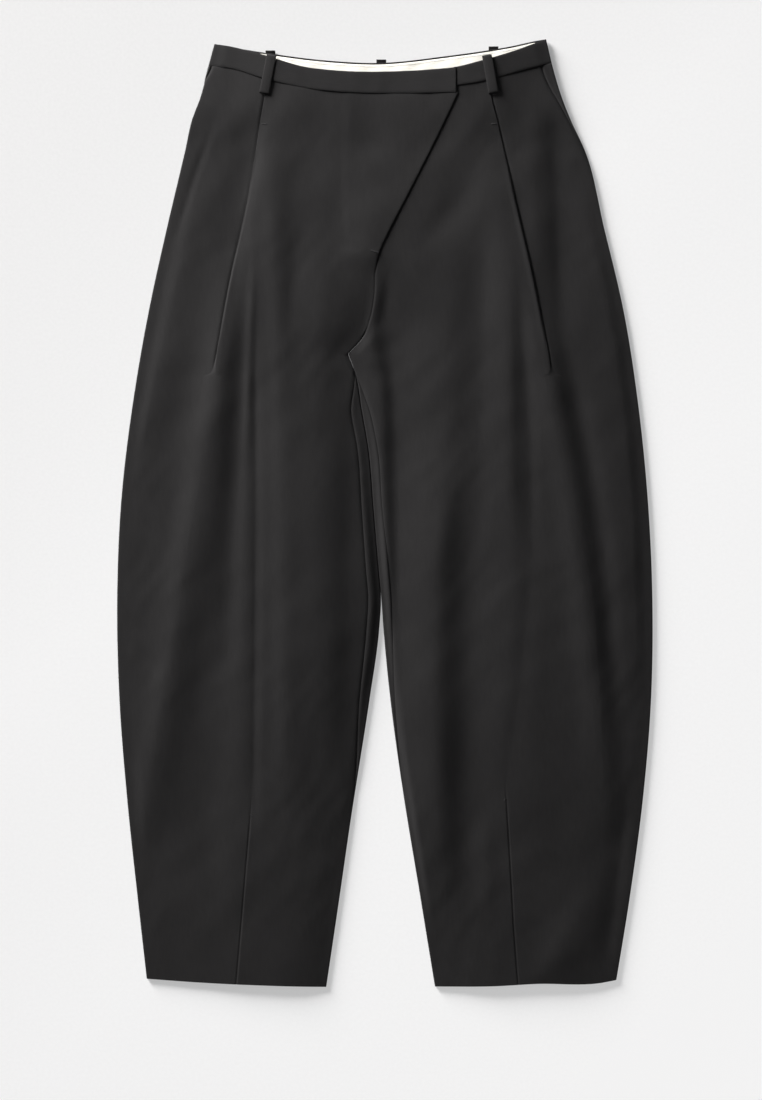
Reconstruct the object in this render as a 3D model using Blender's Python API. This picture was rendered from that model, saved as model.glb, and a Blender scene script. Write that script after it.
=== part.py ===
"""Barrel leg trousers with a wrap front, laid on their back on a flat surface.

X runs across the photo to its right, Y from the hems to the waist, Z up from the surface. The tables are in
millimetres from the middle of the outline, and right and left are the wearer's, so the right leg has negative X.
"""

import bpy
import numpy as np

# Cloth
WALL = 1.2
SEAM_GAP = 0.35
EDGE_RADIUS = 1.7
LAYER_GAP = 0.6
HALF_TURN = np.pi * EDGE_RADIUS
TURNING_GAP = 1.7
LONGEST_CORNER = 1 / 0.6  # the most that a corner's normal is lengthened by

# Levels of Y that the shape changes at
WAIST_SEAM = 453.0
CROTCH = 173.5
OVERLAP_FOOT = 284.0
FLAP_FLAT = 259.0
CROTCH_OPEN = 205.0
FLAP_RISE = WALL + LAYER_GAP + 0.1
FLAP_CLIMB = 23.0
FLAP_CLEAR = 5.0
HEM_LEVEL = -510.5
WARP_END = 255.0
HEM_WARP_END = -330.0
INNER_EDGE_TOP = 290.0
TRUNK_START = 286.0
CROTCH_FADE = 40.0
HOLLOW_FOOT, HOLLOW_TOP = 395.0, 448.0  # where the back comes to lie on its loops
# The right side seam is rolled onto the front between these levels, and the left one in two steps
RIGHT_ROLL_FOOT, RIGHT_ROLL_TOP, RIGHT_ROLL = 462.0, 485.0, 2.0
LEFT_TURN_FOOT, LEFT_TURN_TOP = 335.0, 428.0
LEFT_ROLL_FOOT, LEFT_ROLL_TOP, LEFT_ROLL = 412.0, 490.0, 9.5
# The inseams are rolled onto the front wholly between the two inner levels, and not at all past the outer ones
INSEAM_FOOT, INSEAM_ROLL_FOOT, INSEAM_ROLL_TOP, INSEAM_TOP = -420.0, -200.0, 105.0, CROTCH + 2

# Pleat: the centre side lies over the side panel, folded under by depth
UNDER_TURN = LAYER_GAP / 2
OVER_TURN = WALL + 0.5
PLEAT_STEP = 2 * (UNDER_TURN + OVER_TURN)
PLEAT_FADE = 70.0
FOLD_REACH = 3.0
PLEAT_RAMP = 20.0
PLEAT_CLEAR = 5.0
PLEAT_FOOT = 174.0
SHORTEST_STRAIGHT = 0.3
WHOLE_FOLD = 3.1  # radians, from which the fold has its stated depth
RAMP_ANGLE = 0.7  # radians, below which the ramp follows the top layer's own swell
TURN_POINTS = 17
# Columns: y, depth of the fold
PLEAT_DEPTH = ((470, 12.0), (395, 12.0), (330, 10.0), (265, 7.0), (235, 4.0), (205, 1.5), (160, 1.5))
# Columns: y, angle in degrees that the cloth turns through, from a whole fold down to a soft ramp
PLEAT_ANGLE = ((470, 180.0), (204, 180.0), (198, 120.0), (190, 60.0), (182, 25.0), (174, 12.0))
# Columns: y, share of the fold's height that is left
PLEAT_RISE = ((470, 1.0), (167, 1.0), (60, 0.6), (-120, 0.35), (-400, 0.1), (-520, 0.0))

# The swell from edge to edge is a sine to this power
DOME_POWER = 1.2
# How far the top layer stands above the flat edges. Columns: y, over the trunk, over each leg
PUFF = (
    (520, 7.0, 8.0),
    (450, 8.0, 8.0),
    (380, 8.8, 8.5),
    (265, 10.0, 9.0),
    (174, 9.5, 9.5),
    (60, 9.0, 11.0),
    (-80, 9.0, 12.0),
    (-200, 9.0, 11.0),
    (-330, 9.0, 8.5),
    (-430, 9.0, 6.5),
    (-515, 9.0, 5.2),
)

# Outer edges. Columns: y, x of the right side, x of the left side
OUTLINE = (
    (515.0, -184.0, 175.0),
    (478.0, -194.0, 184.0),
    (452.0, -201.0, 192.0),
    (428.0, -210.0, 201.5),
    (395.0, -217.5, 217.0),
    (308.0, -238.0, 239.0),
    (221.0, -257.0, 259.5),
    (123.0, -274.0, 275.0),
    (15.0, -287.0, 286.0),
    (-94.0, -291.5, 291.0),
    (-203.0, -289.0, 289.5),
    (-312.0, -280.5, 280.5),
    (-420.0, -269.0, 266.0),
    (-518.0, -258.0, 250.0),
)

# Inner edges below the crotch. Columns: y, x of the right leg, x of the left leg,
# how far the inseam is rolled onto the front of the right leg, and of the left leg
INNER = (
    (173.5, -40.0, -40.0, 0.0, 0.0),
    (151.0, -32.0, -32.0, 5.0, 3.0),
    (113.0, -25.5, -25.5, 10.0, 7.0),
    (69.0, -18.0, -18.0, 10.0, 8.5),
    (4.0, -12.5, -12.5, 11.0, 8.0),
    (-61.0, -7.0, -7.0, 12.0, 10.0),
    (-92.0, -4.5, -4.0, 12.0, 9.5),
    (-127.0, -6.5, -1.5, 12.0, 8.0),
    (-203.0, -17.0, 6.0, 9.0, 3.0),
    (-312.0, -34.0, 21.0, 0.0, 0.0),
    (-420.0, -49.5, 38.5, 0.0, 0.0),
    (-518.0, -64.0, 54.5, 0.0, 0.0),
)

# Centre front. Columns: y, x of the flap's edge, x where the left front ends beneath it
CENTRE_FRONT = (
    (500.0, 98.5, 74.0),
    (455.0, 78.5, 55.0),
    (395.0, 49.5, 26.5),
    (341.0, 22.0, 6.0),
    (308.0, 5.0, -2.0),
    (284.0, -6.0, -6.0),
    (262.0, -10.5, -10.5),
    (238.0, -11.5, -11.5),
    (209.0, -17.0, -17.0),
    (190.0, -25.0, -25.0),
    (178.0, -35.5, -35.5),
    (173.5, -40.0, -40.0),
)

# Centre back, hidden beneath. Columns: y, x
CENTRE_BACK = (
    (500.0, -4.0),
    (360.0, -4.0),
    (284.0, -7.0),
    (238.0, -11.5),
    (209.0, -17.0),
    (190.0, -25.0),
    (178.0, -35.5),
    (173.5, -40.0),
)

# Waist. Columns: x, y of the band's top edge, y of its seam with the panel
FRONT_RIGHT_WAIST = (
    (-196.0, 511.5, 486.5),
    (-164.0, 506.0, 482.0),
    (-136.0, 498.5, 473.0),
    (-87.0, 484.0, 461.0),
    (-54.0, 480.0, 457.0),
    (27.0, 479.5, 455.0),
    (84.0, 483.5, 456.0),
)
FRONT_LEFT_WAIST = (
    (43.0, 480.0, 456.5),
    (76.0, 483.5, 463.0),
    (109.0, 492.0, 468.5),
    (141.0, 502.0, 478.0),
    (176.0, 514.5, 488.0),
    (186.0, 516.5, 491.0),
)
BACK_WAIST = (
    (-196.0, 511.5, 486.5),
    (-136.0, 501.5, 476.5),
    (-61.0, 492.0, 467.0),
    (-9.0, 489.5, 464.5),
    (63.0, 496.5, 471.5),
    (134.0, 507.0, 480.5),
    (174.0, 515.0, 487.0),
    (186.0, 516.0, 490.5),
)
BAND_END_RIGHT = 77.0
BAND_END_LEFT = 54.0
BAND_RISE = 1.2
BAND_OVER_PLEAT = 1.6
# Where the band stands over a pleat: x, half width
BAND_SWELLS = ((-122, 28), (98, 34))
BAND_EDGE_FADE = 16.0
BAND_ROWS, BAND_COLUMNS = 5, 30
BACK_BAND_ROWS, BACK_BAND_COLUMNS = 4, 22
BEND_POINTS = 5

# Hems. Columns: x, y
HEM = (
    (-266.0, -505.0),
    (-200.0, -509.5),
    (-113.0, -513.0),
    (-54.0, -514.5),
    (49.0, -514.0),
    (121.0, -513.0),
    (165.0, -510.5),
    (234.0, -510.0),
    (256.0, -506.0),
)

# Pleats. Columns: y, x of the right fold, x of the right crease, x of the left fold, x of the left crease
PLEATS = (
    (490.0, -128.0, -131.0, 111.0, 114.0),
    (455.0, -129.0, -131.5, 114.0, 116.0),
    (422.0, -134.0, -132.5, 122.0, 122.0),
    (341.0, -153.0, -134.0, 141.0, 131.0),
    (254.0, -172.0, -137.5, 162.5, 141.5),
    (167.0, -187.0, -139.5, 181.5, 151.0),
    (58.0, -208.0, -140.5, 204.0, 158.5),
    (-61.0, -226.0, -144.0, 232.0, 156.0),
    (-203.0, -235.5, -144.0, 240.0, 140.0),
    (-312.0, -239.5, -145.0, 241.0, 129.0),
    (-388.0, -240.0, -151.0, 238.0, 135.0),
    (-518.0, -238.0, -162.0, 229.0, 145.0),
)

# Each fold dies away from this far beyond its ends to this far within them, and near the garment's edges
FOLD_BEYOND, FOLD_WITHIN = 25.0, 45.0
EDGE_FADE = 18.0
# Folds of the front. Columns: where, top y, x, middle y, x, foot y, x, rise, half width
FOLDS = (
    ("right crease, its groove", 232, -139, -7, -142, -328, -145, -1.6, 8),
    ("right crease, the ridge beside it", 341, -145, 189, -148, 15, -154, 1.2, 9),
    ("right thigh, long trough", 308, -151, 47, -184, -312, -236, -2.0, 13),
    ("right thigh, ridge within the crease", 363, -129, 167, -124, -7, -123, 1.5, 15),
    ("right hip, dip below the band", 298, -101, 243, -103, 183, -107, -1.3, 14),
    ("right inseam trough", 102, -46, -51, -44, -236, -47, -1.8, 12),
    ("right hem, swell", -333, -188, -382, -180, -431, -173, 1.2, 22),
    ("right hip, dip", 444, -164, 379, -195, 303, -213, -1.1, 9),
    ("right hip, ridge", 417, -173, 341, -201, 243, -225, 1.0, 10),
    ("right pleat, run out", 156, -195, -29, -225, -333, -245, 1.4, 11),
    ("left crease, its groove", 243, 145, 36, 160, -301, 130, -1.4, 9),
    ("left thigh, ridge within the crease", 243, 128, 69, 132, -105, 128, 1.5, 13),
    ("left thigh, trough within the crease", 363, 108, 145, 103, -61, 106, -1.5, 14),
    ("left pleat, run out", 243, 170, 91, 188, -72, 194, 1.5, 12),
    ("left thigh, long trough", 232, 183, -7, 212, -301, 251, -2.0, 13),
    ("left hip, dip", 439, 178, 319, 177, 189, 176, -1.2, 10),
    ("left hip, ridge", 439, 200, 341, 201, 232, 203, 1.0, 11),
    ("left inseam trough", 134, -5, -7, 5, -159, 17, -1.8, 13),
    ("left inner thigh, ridge", 200, 34, 36, 39, -138, 49, 1.5, 20),
    ("left knee to hem, deep trough", -40, 70, -192, 74, -458, 78, -3.0, 20),
    ("left knee, swell", -40, 147, -181, 147, -333, 152, 1.5, 35),
    ("left hem, outer dip", -301, 269, -399, 256, -496, 241, -1.3, 11),
    ("left front, slanting dip from the flap", 395, 114, 357, 82, 314, 47, -1.2, 10),
    ("left front, slanting ridge under it", 371, 122, 332, 87, 287, 51, 1.1, 10),
    ("left hem, slanting dip", -410, 238, -453, 218, -502, 190, -1.4, 11),
)

# Belt loops of the front. Columns: name, top x, top y, foot x, foot y
FRONT_LOOPS = (
    ("belt_loop_front_right", -122.9, 496.4, -131.1, 455.0),
    ("belt_loop_front_left", 110.2, 496.0, 117.5, 455.0),
)
# Belt loops of the back, which lie beneath it. Columns: name, x, top y
BACK_LOOPS = (
    ("belt_loop_back_right", -124.5, 503.2),
    ("belt_loop_back_centre", -4.0, 493.4),
    ("belt_loop_back_left", 118.0, 507.6),
)
LOOP_WIDTH = 11.0
LOOP_LENGTH = 37.0
LOOP_WALL = 1.2
LOOP_CLEARANCE = 4.9
LOOP_CROWN = 0.5
LOOP_ROWS, LOOP_COLUMNS = 8, 4
LOOP_LEVEL_LOW, LOOP_LEVEL_HIGH = 466.0, 490.0  # the levels whose height a front loop follows
BACK_LOOP_HOLLOW = 1.8

FACING_WALL = 1.0
FACING_SIDE_MARGIN = 18.0
FACING_ROWS = (2.2, 10.0, 18.0, 26.0)
FACING_COLUMNS = 24
SIDE_GUESS = {1: -190.0, 2: 181.0}  # near the waist's two ends, by the outline's column

WOOL = (0.028, 0.026, 0.027)
BAND = (0.031, 0.029, 0.030)
CREAM = (0.83, 0.80, 0.72)

# Columns of each panel, as shares of the way between two of its lines
SIDE_COLUMNS = np.array([0.12, 0.3, 0.5, 0.7, 0.9])
NEAR_COLUMNS = np.array([0.3, 0.7, 1.0])
FAR_COLUMNS = np.array([0.08, 0.18, 0.3, 0.42, 0.54, 0.66, 0.78, 0.88, 0.96])
BACK_COLUMNS = np.array([0.12, 0.3, 0.5, 0.7, 0.88])
CREASE_NEAREST, CREASE_FARTHEST = 0.06, 0.5
FLATTEST_SHARE = 0.02
EDGE_POINTS = 4
BEND_SHARE = 0.75
# Rows of each panel, as levels of Y before the waist's and the hem's curves are added
ROWS = (
    WAIST_SEAM, 434, 412, 388, 360, 330, 305, 284, 262, 240, 220, 205, 198, 190, 182, CROTCH,
    165, 150, 125, 90, 45, -5, -60, -120, -185, -250, -315, -375, -425, -470, HEM_LEVEL,
)


def smooth(start, end, at):
    """0 at start and before, 1 at end and after."""
    u = np.clip((np.asarray(at, float) - start) / (end - start), 0, 1)
    return u * u * (3 - 2 * u)


def curve(table, column, at):
    """A smooth line through one column of a table, by the first column."""
    rows = np.array(sorted(table), float)
    x, v = rows[:, 0], rows[:, column]
    slope = np.gradient(v, x)
    at = np.asarray(at, float)
    i = np.clip(np.searchsorted(x, at) - 1, 0, len(x) - 2)
    h = x[i + 1] - x[i]
    u = np.clip((at - x[i]) / h, 0, 1)
    start = v[i] * (1 + 2 * u) + h * slope[i] * u
    end = v[i + 1] * (3 - 2 * u) - h * slope[i + 1] * (1 - u)
    return start * (1 - u) ** 2 + end * u**2


def floor_level(y):
    """The back rides on its belt loops at the waist."""
    return BACK_LOOP_HOLLOW * smooth(HOLLOW_FOOT, HOLLOW_TOP, y)


def inner_edge(y, side):
    """The leg's inner edge, or the centre front above the crotch."""
    column = 1 if side > 0 else 2
    above = curve(CENTRE_FRONT, 1, np.minimum(y, INNER_EDGE_TOP)) - side * SEAM_GAP / 2
    return np.where(y >= CROTCH, above, curve(INNER, column, y) - side * SEAM_GAP / 2)


def folds(x, y):
    total = np.zeros(np.broadcast(x, y).shape)
    for _, top, top_x, middle, middle_x, foot, foot_x, rise, half_width in FOLDS:
        centre = curve(((top, top_x), (middle, middle_x), (foot, foot_x)), 1, y)
        start = smooth(foot - FOLD_BEYOND, foot + FOLD_WITHIN, y)
        ends = start * (1 - smooth(top - FOLD_WITHIN, top + FOLD_BEYOND, y))
        total += rise * ends * np.exp(-(((x - centre) / half_width) ** 2))
    return total


def dome(x, start, end):
    u = np.clip((x - start) / (end - start), 0, 1)
    return np.sin(np.pi * u) ** DOME_POWER


def front_height(x, y, side):
    """Height of the outer face of the top layer, before the pleat's and the flap's layers are added."""
    right = curve(OUTLINE, 1, y) + EDGE_RADIUS
    left = curve(OUTLINE, 2, y) - EDGE_RADIUS
    inner = inner_edge(y, side) - side * EDGE_RADIUS
    leg = dome(x, right, inner) if side > 0 else dome(x, inner, left)
    leg_share = 1 - smooth(CROTCH, TRUNK_START, y)
    puff = (1 - leg_share) * curve(PUFF, 1, y) * dome(x, right, left) + leg_share * curve(PUFF, 2, y) * leg
    below = smooth(CROTCH + CROTCH_FADE, CROTCH, y)
    edge = smooth(0, EDGE_FADE, x - right) * smooth(0, EDGE_FADE, left - x)
    edge = edge * (1 - below + below * smooth(0, EDGE_FADE, side * (inner - x)))
    return floor_level(y) + 2 * EDGE_RADIUS + puff + edge * folds(x, y)


def pleat_lift(x, y):
    """The centre side stands over both pleats by their layers, and comes down again towards the centre."""
    rise = PLEAT_STEP * curve(PLEAT_RISE, 1, y)
    clear = curve(PLEAT_DEPTH, 1, y) + PLEAT_CLEAR
    share = 0.0
    for past in (x - curve(PLEATS, 1, y), curve(PLEATS, 3, y) - x):
        over = (past >= -FOLD_REACH) * (1 - smooth(clear, PLEAT_FADE, past))
        share = np.maximum(share, over)
    return rise * share


def flap_lift(x, y):
    """The flap lies over the end of the left front."""
    end = curve(CENTRE_FRONT, 2, np.maximum(y, OVERLAP_FOOT))
    over = smooth(end - FLAP_CLIMB - FLAP_CLEAR, end - FLAP_CLEAR, x)
    return FLAP_RISE * over * smooth(FLAP_FLAT, OVERLAP_FOOT, y)


def outward(path, facing):
    """Unit normals of a path in the plane of x and z, lengthened at its corners so that a wall keeps its thickness."""
    step = np.diff(path, axis=0)
    step /= np.linalg.norm(step, axis=1, keepdims=True)
    first, last = 1.5 * step[0] - 0.5 * step[1], 1.5 * step[-1] - 0.5 * step[-2]
    first, last = first / np.linalg.norm(first), last / np.linalg.norm(last)
    before = np.vstack([first, step])
    after = np.vstack([step, last])
    after[0], before[-1] = first, last
    turned = facing * np.stack([-(before + after)[:, 1], (before + after)[:, 0]], axis=1)
    turned /= np.linalg.norm(turned, axis=1, keepdims=True)
    straight = facing * np.stack([-before[:, 1], before[:, 0]], axis=1)
    return turned / np.maximum((turned * straight).sum(axis=1, keepdims=True), 1 / LONGEST_CORNER)


def edge_arc(s, y):
    """A folded edge's outer face: (distance inward from the edge, height), by the length s from the underside."""
    angle = np.clip(s, 0, HALF_TURN) / EDGE_RADIUS
    inward = EDGE_RADIUS * (1 - np.sin(angle)) + np.maximum(s - HALF_TURN, 0) + np.maximum(-s, 0)
    return inward, floor_level(y) + EDGE_RADIUS * (1 - np.cos(angle))


def side_seam(y, side):
    """Where the side seam lies on the folded edge: half way up it, and rolled onto the front by the left pocket."""
    middle = HALF_TURN / 2
    if side > 0:
        return middle + (middle + RIGHT_ROLL) * smooth(RIGHT_ROLL_FOOT, RIGHT_ROLL_TOP, y)
    turned = middle * smooth(LEFT_TURN_FOOT, LEFT_TURN_TOP, y)
    return middle + turned + LEFT_ROLL * smooth(LEFT_ROLL_FOOT, LEFT_ROLL_TOP, y)


def inseam(y, side):
    middle = HALF_TURN / 2
    rolled = curve(INNER, 3 if side > 0 else 4, np.minimum(y, CROTCH))
    share = smooth(INSEAM_TOP, INSEAM_ROLL_TOP, y) * smooth(INSEAM_FOOT, INSEAM_ROLL_FOOT, y)
    return middle + middle * share + rolled * share


def turning_gap(seam):
    """The gap at a seam widens while the seam climbs round a folded edge, because its two cut ends turn there."""
    climb = np.clip(seam / HALF_TURN * 2 - 1, 0, 1)
    return SEAM_GAP / 2 + TURNING_GAP * climb * (1 - climb)


def settle(level, warp, x_of):
    """(x, y) on a line x_of(y), on the row that has this level."""
    y = np.full(1, float(level))
    for _ in range(6):
        y = level + warp(x_of(y), level)
    return float(x_of(y)[0]), float(y[0])


def front_warp(side):
    table = FRONT_RIGHT_WAIST if side > 0 else FRONT_LEFT_WAIST
    span = [row[0] for row in table]

    def warp(x, level):
        top = curve(table, 2, np.clip(x, min(span), max(span))) - SEAM_GAP - WAIST_SEAM
        hem = curve(HEM, 1, x) - HEM_LEVEL
        return top * smooth(WARP_END, WAIST_SEAM, level) + hem * smooth(HEM_WARP_END, HEM_LEVEL, level)

    return warp


def back_warp(x, level):
    top = curve(BACK_WAIST, 2, x) - SEAM_GAP - WAIST_SEAM
    hem = curve(HEM, 1, x) - HEM_LEVEL
    return top * smooth(WARP_END, WAIST_SEAM, level) + hem * smooth(HEM_WARP_END, HEM_LEVEL, level)


def pleat_profile(level, y):
    """(distance inward from the fold, height above the side panel, angle) of the pleat's turns, as a path inwards."""
    rise = PLEAT_STEP * float(curve(PLEAT_RISE, 1, y))
    if level > PLEAT_FOOT:
        heights = np.array(PLEAT_ANGLE)[::-1]
        angle = np.radians(np.interp(level, heights[:, 0], heights[:, 1]))
    else:
        angle = np.arcsin(max(rise, SHORTEST_STRAIGHT) / PLEAT_RAMP)
    if angle > WHOLE_FOLD:
        straight = float(curve(PLEAT_DEPTH, 1, y))
    else:
        turned = (UNDER_TURN + OVER_TURN) * (1 - np.cos(angle))
        straight = max((rise - turned) / np.sin(angle), SHORTEST_STRAIGHT)
    up = np.linspace(0, angle, TURN_POINTS)
    down = up[::-1]
    first_x, first_z = UNDER_TURN * np.sin(up), UNDER_TURN * (1 - np.cos(up))
    next_x = first_x[-1] + straight * np.cos(angle)
    next_z = first_z[-1] + straight * np.sin(angle)
    last_x = next_x + OVER_TURN * (np.sin(angle) - np.sin(down))
    last_z = next_z + OVER_TURN * (np.cos(down) - np.cos(angle))
    x = np.concatenate([first_x, last_x])
    z = np.concatenate([first_z, last_z])
    folded = (1 - np.cos(angle)) / 2
    # Five points on each turn of a whole fold, and evenly spread points on a ramp
    run = np.concatenate([[0], np.cumsum(np.hypot(np.diff(x), np.diff(z)))])
    middle = (run[TURN_POINTS - 1] + run[TURN_POINTS]) / 2
    on_turns = np.concatenate([run[0:TURN_POINTS:4], [middle], run[TURN_POINTS::4]])
    stations = folded * on_turns + (1 - folded) * np.linspace(0, run[-1], len(on_turns))
    x = x - x[-1] * (folded + (1 - folded) / 2)
    return np.interp(stations, run, x), np.interp(stations, run, z), angle


def front_row(level, side):
    """One row of a front panel, from its side seam inwards: the outer face and the inner face, as points."""
    warp = front_warp(side)
    edge_x, edge_y = settle(level, warp, lambda y: curve(OUTLINE, 1 if side > 0 else 2, y))
    fold_x, fold_y = settle(level, warp, lambda y: curve(PLEATS, 1 if side > 0 else 3, y))
    crease_x, _ = settle(level, warp, lambda y: curve(PLEATS, 2 if side > 0 else 4, y))

    def height(x):
        y = level + warp(x, level)
        return front_height(x, y, side)

    seam = side_seam(edge_y, side)
    seam += turning_gap(seam)
    top = max(HALF_TURN, seam + 1.0)
    s = np.linspace(seam, top, EDGE_POINTS)
    start_in, start_z = edge_arc(s, edge_y)
    start_x = edge_x + side * start_in
    start_z = np.where(s > HALF_TURN, height(start_x), start_z)

    across, above, angle = pleat_profile(level, fold_y)
    pleat_x = fold_x + side * across
    along = np.linspace(0, 1, len(across))
    level_z = (1 - along) * height(pleat_x[0]) + along * height(pleat_x[-1])
    pleat_z = above + (height(pleat_x) if angle < RAMP_ANGLE else level_z)

    gap = pleat_x[0] - start_x[-1]
    under_x = start_x[-1] + gap * SIDE_COLUMNS
    under_z = height(under_x)

    if level > CROTCH:
        column = 1 if side > 0 else 2
        end_x, end_y = settle(level, warp, lambda y: curve(CENTRE_FRONT, column, y))
        end_x -= side * SEAM_GAP / 2
        share = max(float(1 - smooth(CROTCH, CROTCH_OPEN, end_y)), FLATTEST_SHARE)
        radius = EDGE_RADIUS / share
        length = HALF_TURN / 2 - SEAM_GAP / 2
        along = np.linspace(0, length, EDGE_POINTS)
        last_x = end_x - side * radius * (np.sin(length / radius) - np.sin(along / radius))
        drop = radius * (1 - np.cos(along / radius))
        last_z = None
    else:
        end_x, end_y = settle(level, warp, lambda y: inner_edge(y, side))
        seam = inseam(end_y, side)
        seam += turning_gap(seam)
        s = np.linspace(max(HALF_TURN, seam + 1.0), seam, EDGE_POINTS)
        inward, last_z = edge_arc(s, end_y)
        last_x = end_x - side * inward
        last_z = np.where(s > HALF_TURN, height(last_x), last_z)
        drop = np.zeros(EDGE_POINTS)

    def lifted(x):
        y = level + warp(x, level)
        z = height(x) + pleat_lift(x, y)
        return z + flap_lift(x, y) if side > 0 else z

    if last_z is None:
        last_z = lifted(last_x) - drop

    reach = last_x[0] - pleat_x[-1]
    crease = np.clip((crease_x - pleat_x[-1]) / reach, CREASE_NEAREST, CREASE_FARTHEST)
    near = NEAR_COLUMNS * crease
    far = crease + (1 - crease) * FAR_COLUMNS
    over_x = pleat_x[-1] + reach * np.concatenate([near, far])
    over_z = lifted(over_x)

    x = np.concatenate([start_x, under_x, pleat_x, over_x, last_x])
    z = np.concatenate([start_z, under_z, pleat_z, over_z, last_z])
    return both_faces(x, z, level, warp, side, 1)


def back_row(level, side):
    """One row of a back panel, from its side seam beneath to the centre back or up to the inseam."""
    edge_x, edge_y = settle(level, back_warp, lambda y: curve(OUTLINE, 1 if side > 0 else 2, y))
    _, front_y = settle(level, front_warp(side), lambda y: curve(OUTLINE, 1 if side > 0 else 2, y))

    def on_top(x):
        y = level + back_warp(x, level)
        return front_height(x, y, side)

    seam = side_seam(front_y, side)
    s = split(seam - turning_gap(seam), 3)[::-1]
    inward, start_z = edge_arc(s, edge_y)
    start_x = edge_x + side * inward
    start_z = np.where(s > HALF_TURN, on_top(start_x), start_z)

    if level > CROTCH:
        end_x, end_y = settle(level, back_warp, lambda y: curve(CENTRE_BACK, 1, y))
        end_x -= side * SEAM_GAP / 2
        share = max(float(1 - smooth(CROTCH, CROTCH_OPEN, end_y)), FLATTEST_SHARE)
        radius = EDGE_RADIUS / share
        length = HALF_TURN / 2 - SEAM_GAP / 2
        along = split(length, 4)
        last_x = end_x - side * radius * (np.sin(length / radius) - np.sin(along / radius))
        last_z = floor_level(end_y) + radius * (1 - np.cos(along / radius))
    else:
        end_x, end_y = settle(level, back_warp, lambda y: inner_edge(y, side))
        seam = inseam(end_y, side)
        s = split(seam - turning_gap(seam), 4)
        inward, last_z = edge_arc(s, end_y)
        last_x = end_x - side * inward
        last_z = np.where(s > HALF_TURN, on_top(last_x), last_z)

    flat_x = start_x[-1] + (last_x[0] - start_x[-1]) * BACK_COLUMNS
    flat_z = floor_level(level + back_warp(flat_x, level))
    x = np.concatenate([start_x, flat_x, last_x])
    z = np.concatenate([start_z, flat_z, last_z])
    return both_faces(x, z, level, back_warp, side, -1)


def split(length, strips):
    """Lengths from 0 to length: five strips over the folded edge, then strips more."""
    bend = min(HALF_TURN, length * BEND_SHARE)
    return np.concatenate([np.linspace(0, bend, BEND_POINTS + 1), np.linspace(bend, length, strips + 1)[1:]])


def both_faces(x, z, level, warp, side, facing):
    path = np.stack([side * x, z], axis=1)
    inner = path - WALL * outward(path, facing)
    y = level + warp(x, level)
    outer_face = np.stack([x, y, z], axis=1)
    inner_face = np.stack([side * inner[:, 0], y, inner[:, 1]], axis=1)
    return outer_face, inner_face


def cloth_solid(name, outer, inner, colour, collection, turned):
    """A closed solid between two grids of points, with rows down the piece and columns across it."""
    rows, columns = outer.shape[:2]
    grid = np.arange(rows * columns).reshape(rows, columns)
    a, b, c, d = grid[:-1, :-1], grid[:-1, 1:], grid[1:, 1:], grid[1:, :-1]
    top = np.stack([a, b, c, d], axis=-1).reshape(-1, 4)
    low = top[:, ::-1] + rows * columns
    rim = np.concatenate([grid[0, :-1], grid[:-1, -1], grid[-1, :0:-1], grid[:0:-1, 0]])
    following = np.roll(rim, -1)
    wall = np.stack([rim, rim + rows * columns, following + rows * columns, following], axis=1)
    faces = np.concatenate([top, low, wall])
    faces = faces if turned else faces[:, ::-1]
    points = np.concatenate([outer.reshape(-1, 3), inner.reshape(-1, 3)]) * 0.001
    mesh = bpy.data.meshes.new(name)
    mesh.from_pydata(points.tolist(), [], faces.tolist())
    material = bpy.data.materials.new(name + "_cloth")
    material.use_nodes = True
    shader = material.node_tree.nodes["Principled BSDF"]
    shader.inputs["Base Color"].default_value = (*colour, 1.0)
    shader.inputs["Roughness"].default_value = 0.9
    mesh.materials.append(material)
    piece = bpy.data.objects.new(name, mesh)
    collection.objects.link(piece)
    return piece


def panel(name, side, row_of, colour, collection):
    rows = [row_of(level, side) for level in ROWS]
    outer = np.array([row[0] for row in rows])
    inner = np.array([row[1] for row in rows])
    upward = row_of is front_row
    return cloth_solid(name, outer, inner, colour, collection, (side > 0) != upward)


def band_height(x, y, side):
    """Height of the front band's outer face."""
    right = curve(OUTLINE, 1, y) + EDGE_RADIUS
    left = curve(OUTLINE, 2, y) - EDGE_RADIUS
    edge = smooth(0, BAND_EDGE_FADE, x - right) * smooth(0, BAND_EDGE_FADE, left - x)
    over = sum(np.exp(-(((x - centre) / half_width) ** 2)) for centre, half_width in BAND_SWELLS)
    z = floor_level(y) + 2 * EDGE_RADIUS + curve(PUFF, 1, y) * dome(x, right, left)
    z = z + edge * (BAND_RISE + BAND_OVER_PLEAT * over)
    return z + flap_lift(x, y) if side > 0 else z


def band_end(column, y_at):
    """Where a row of the band meets the garment's edge."""
    x = SIDE_GUESS[column]
    for _ in range(6):
        x = float(curve(OUTLINE, column, y_at(x)))
    return x


def front_band(name, side, end_x, colour, collection):
    table = FRONT_RIGHT_WAIST if side > 0 else FRONT_LEFT_WAIST
    outer, inner = [], []
    for share in np.linspace(0, 1, BAND_ROWS):

        def y_at(x, share=share):
            return (1 - share) * curve(table, 1, x) + share * curve(table, 2, x)

        edge_x = band_end(1 if side > 0 else 2, y_at)
        s = np.linspace(HALF_TURN / 2 + SEAM_GAP / 2, HALF_TURN, BEND_POINTS)
        inward, start_z = edge_arc(s, y_at(edge_x))
        start_x = edge_x + side * inward
        x = np.concatenate([start_x, np.linspace(start_x[-1], end_x, BAND_COLUMNS)[1:]])
        rest = x[BEND_POINTS:]
        z = np.concatenate([start_z, band_height(rest, y_at(rest), side)])
        path = np.stack([side * x, z], axis=1)
        back = path - WALL * outward(path, 1)
        outer.append(np.stack([x, y_at(x), z], axis=1))
        inner.append(np.stack([side * back[:, 0], y_at(x), back[:, 1]], axis=1))
    return cloth_solid(name, np.array(outer), np.array(inner), colour, collection, side < 0)


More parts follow.
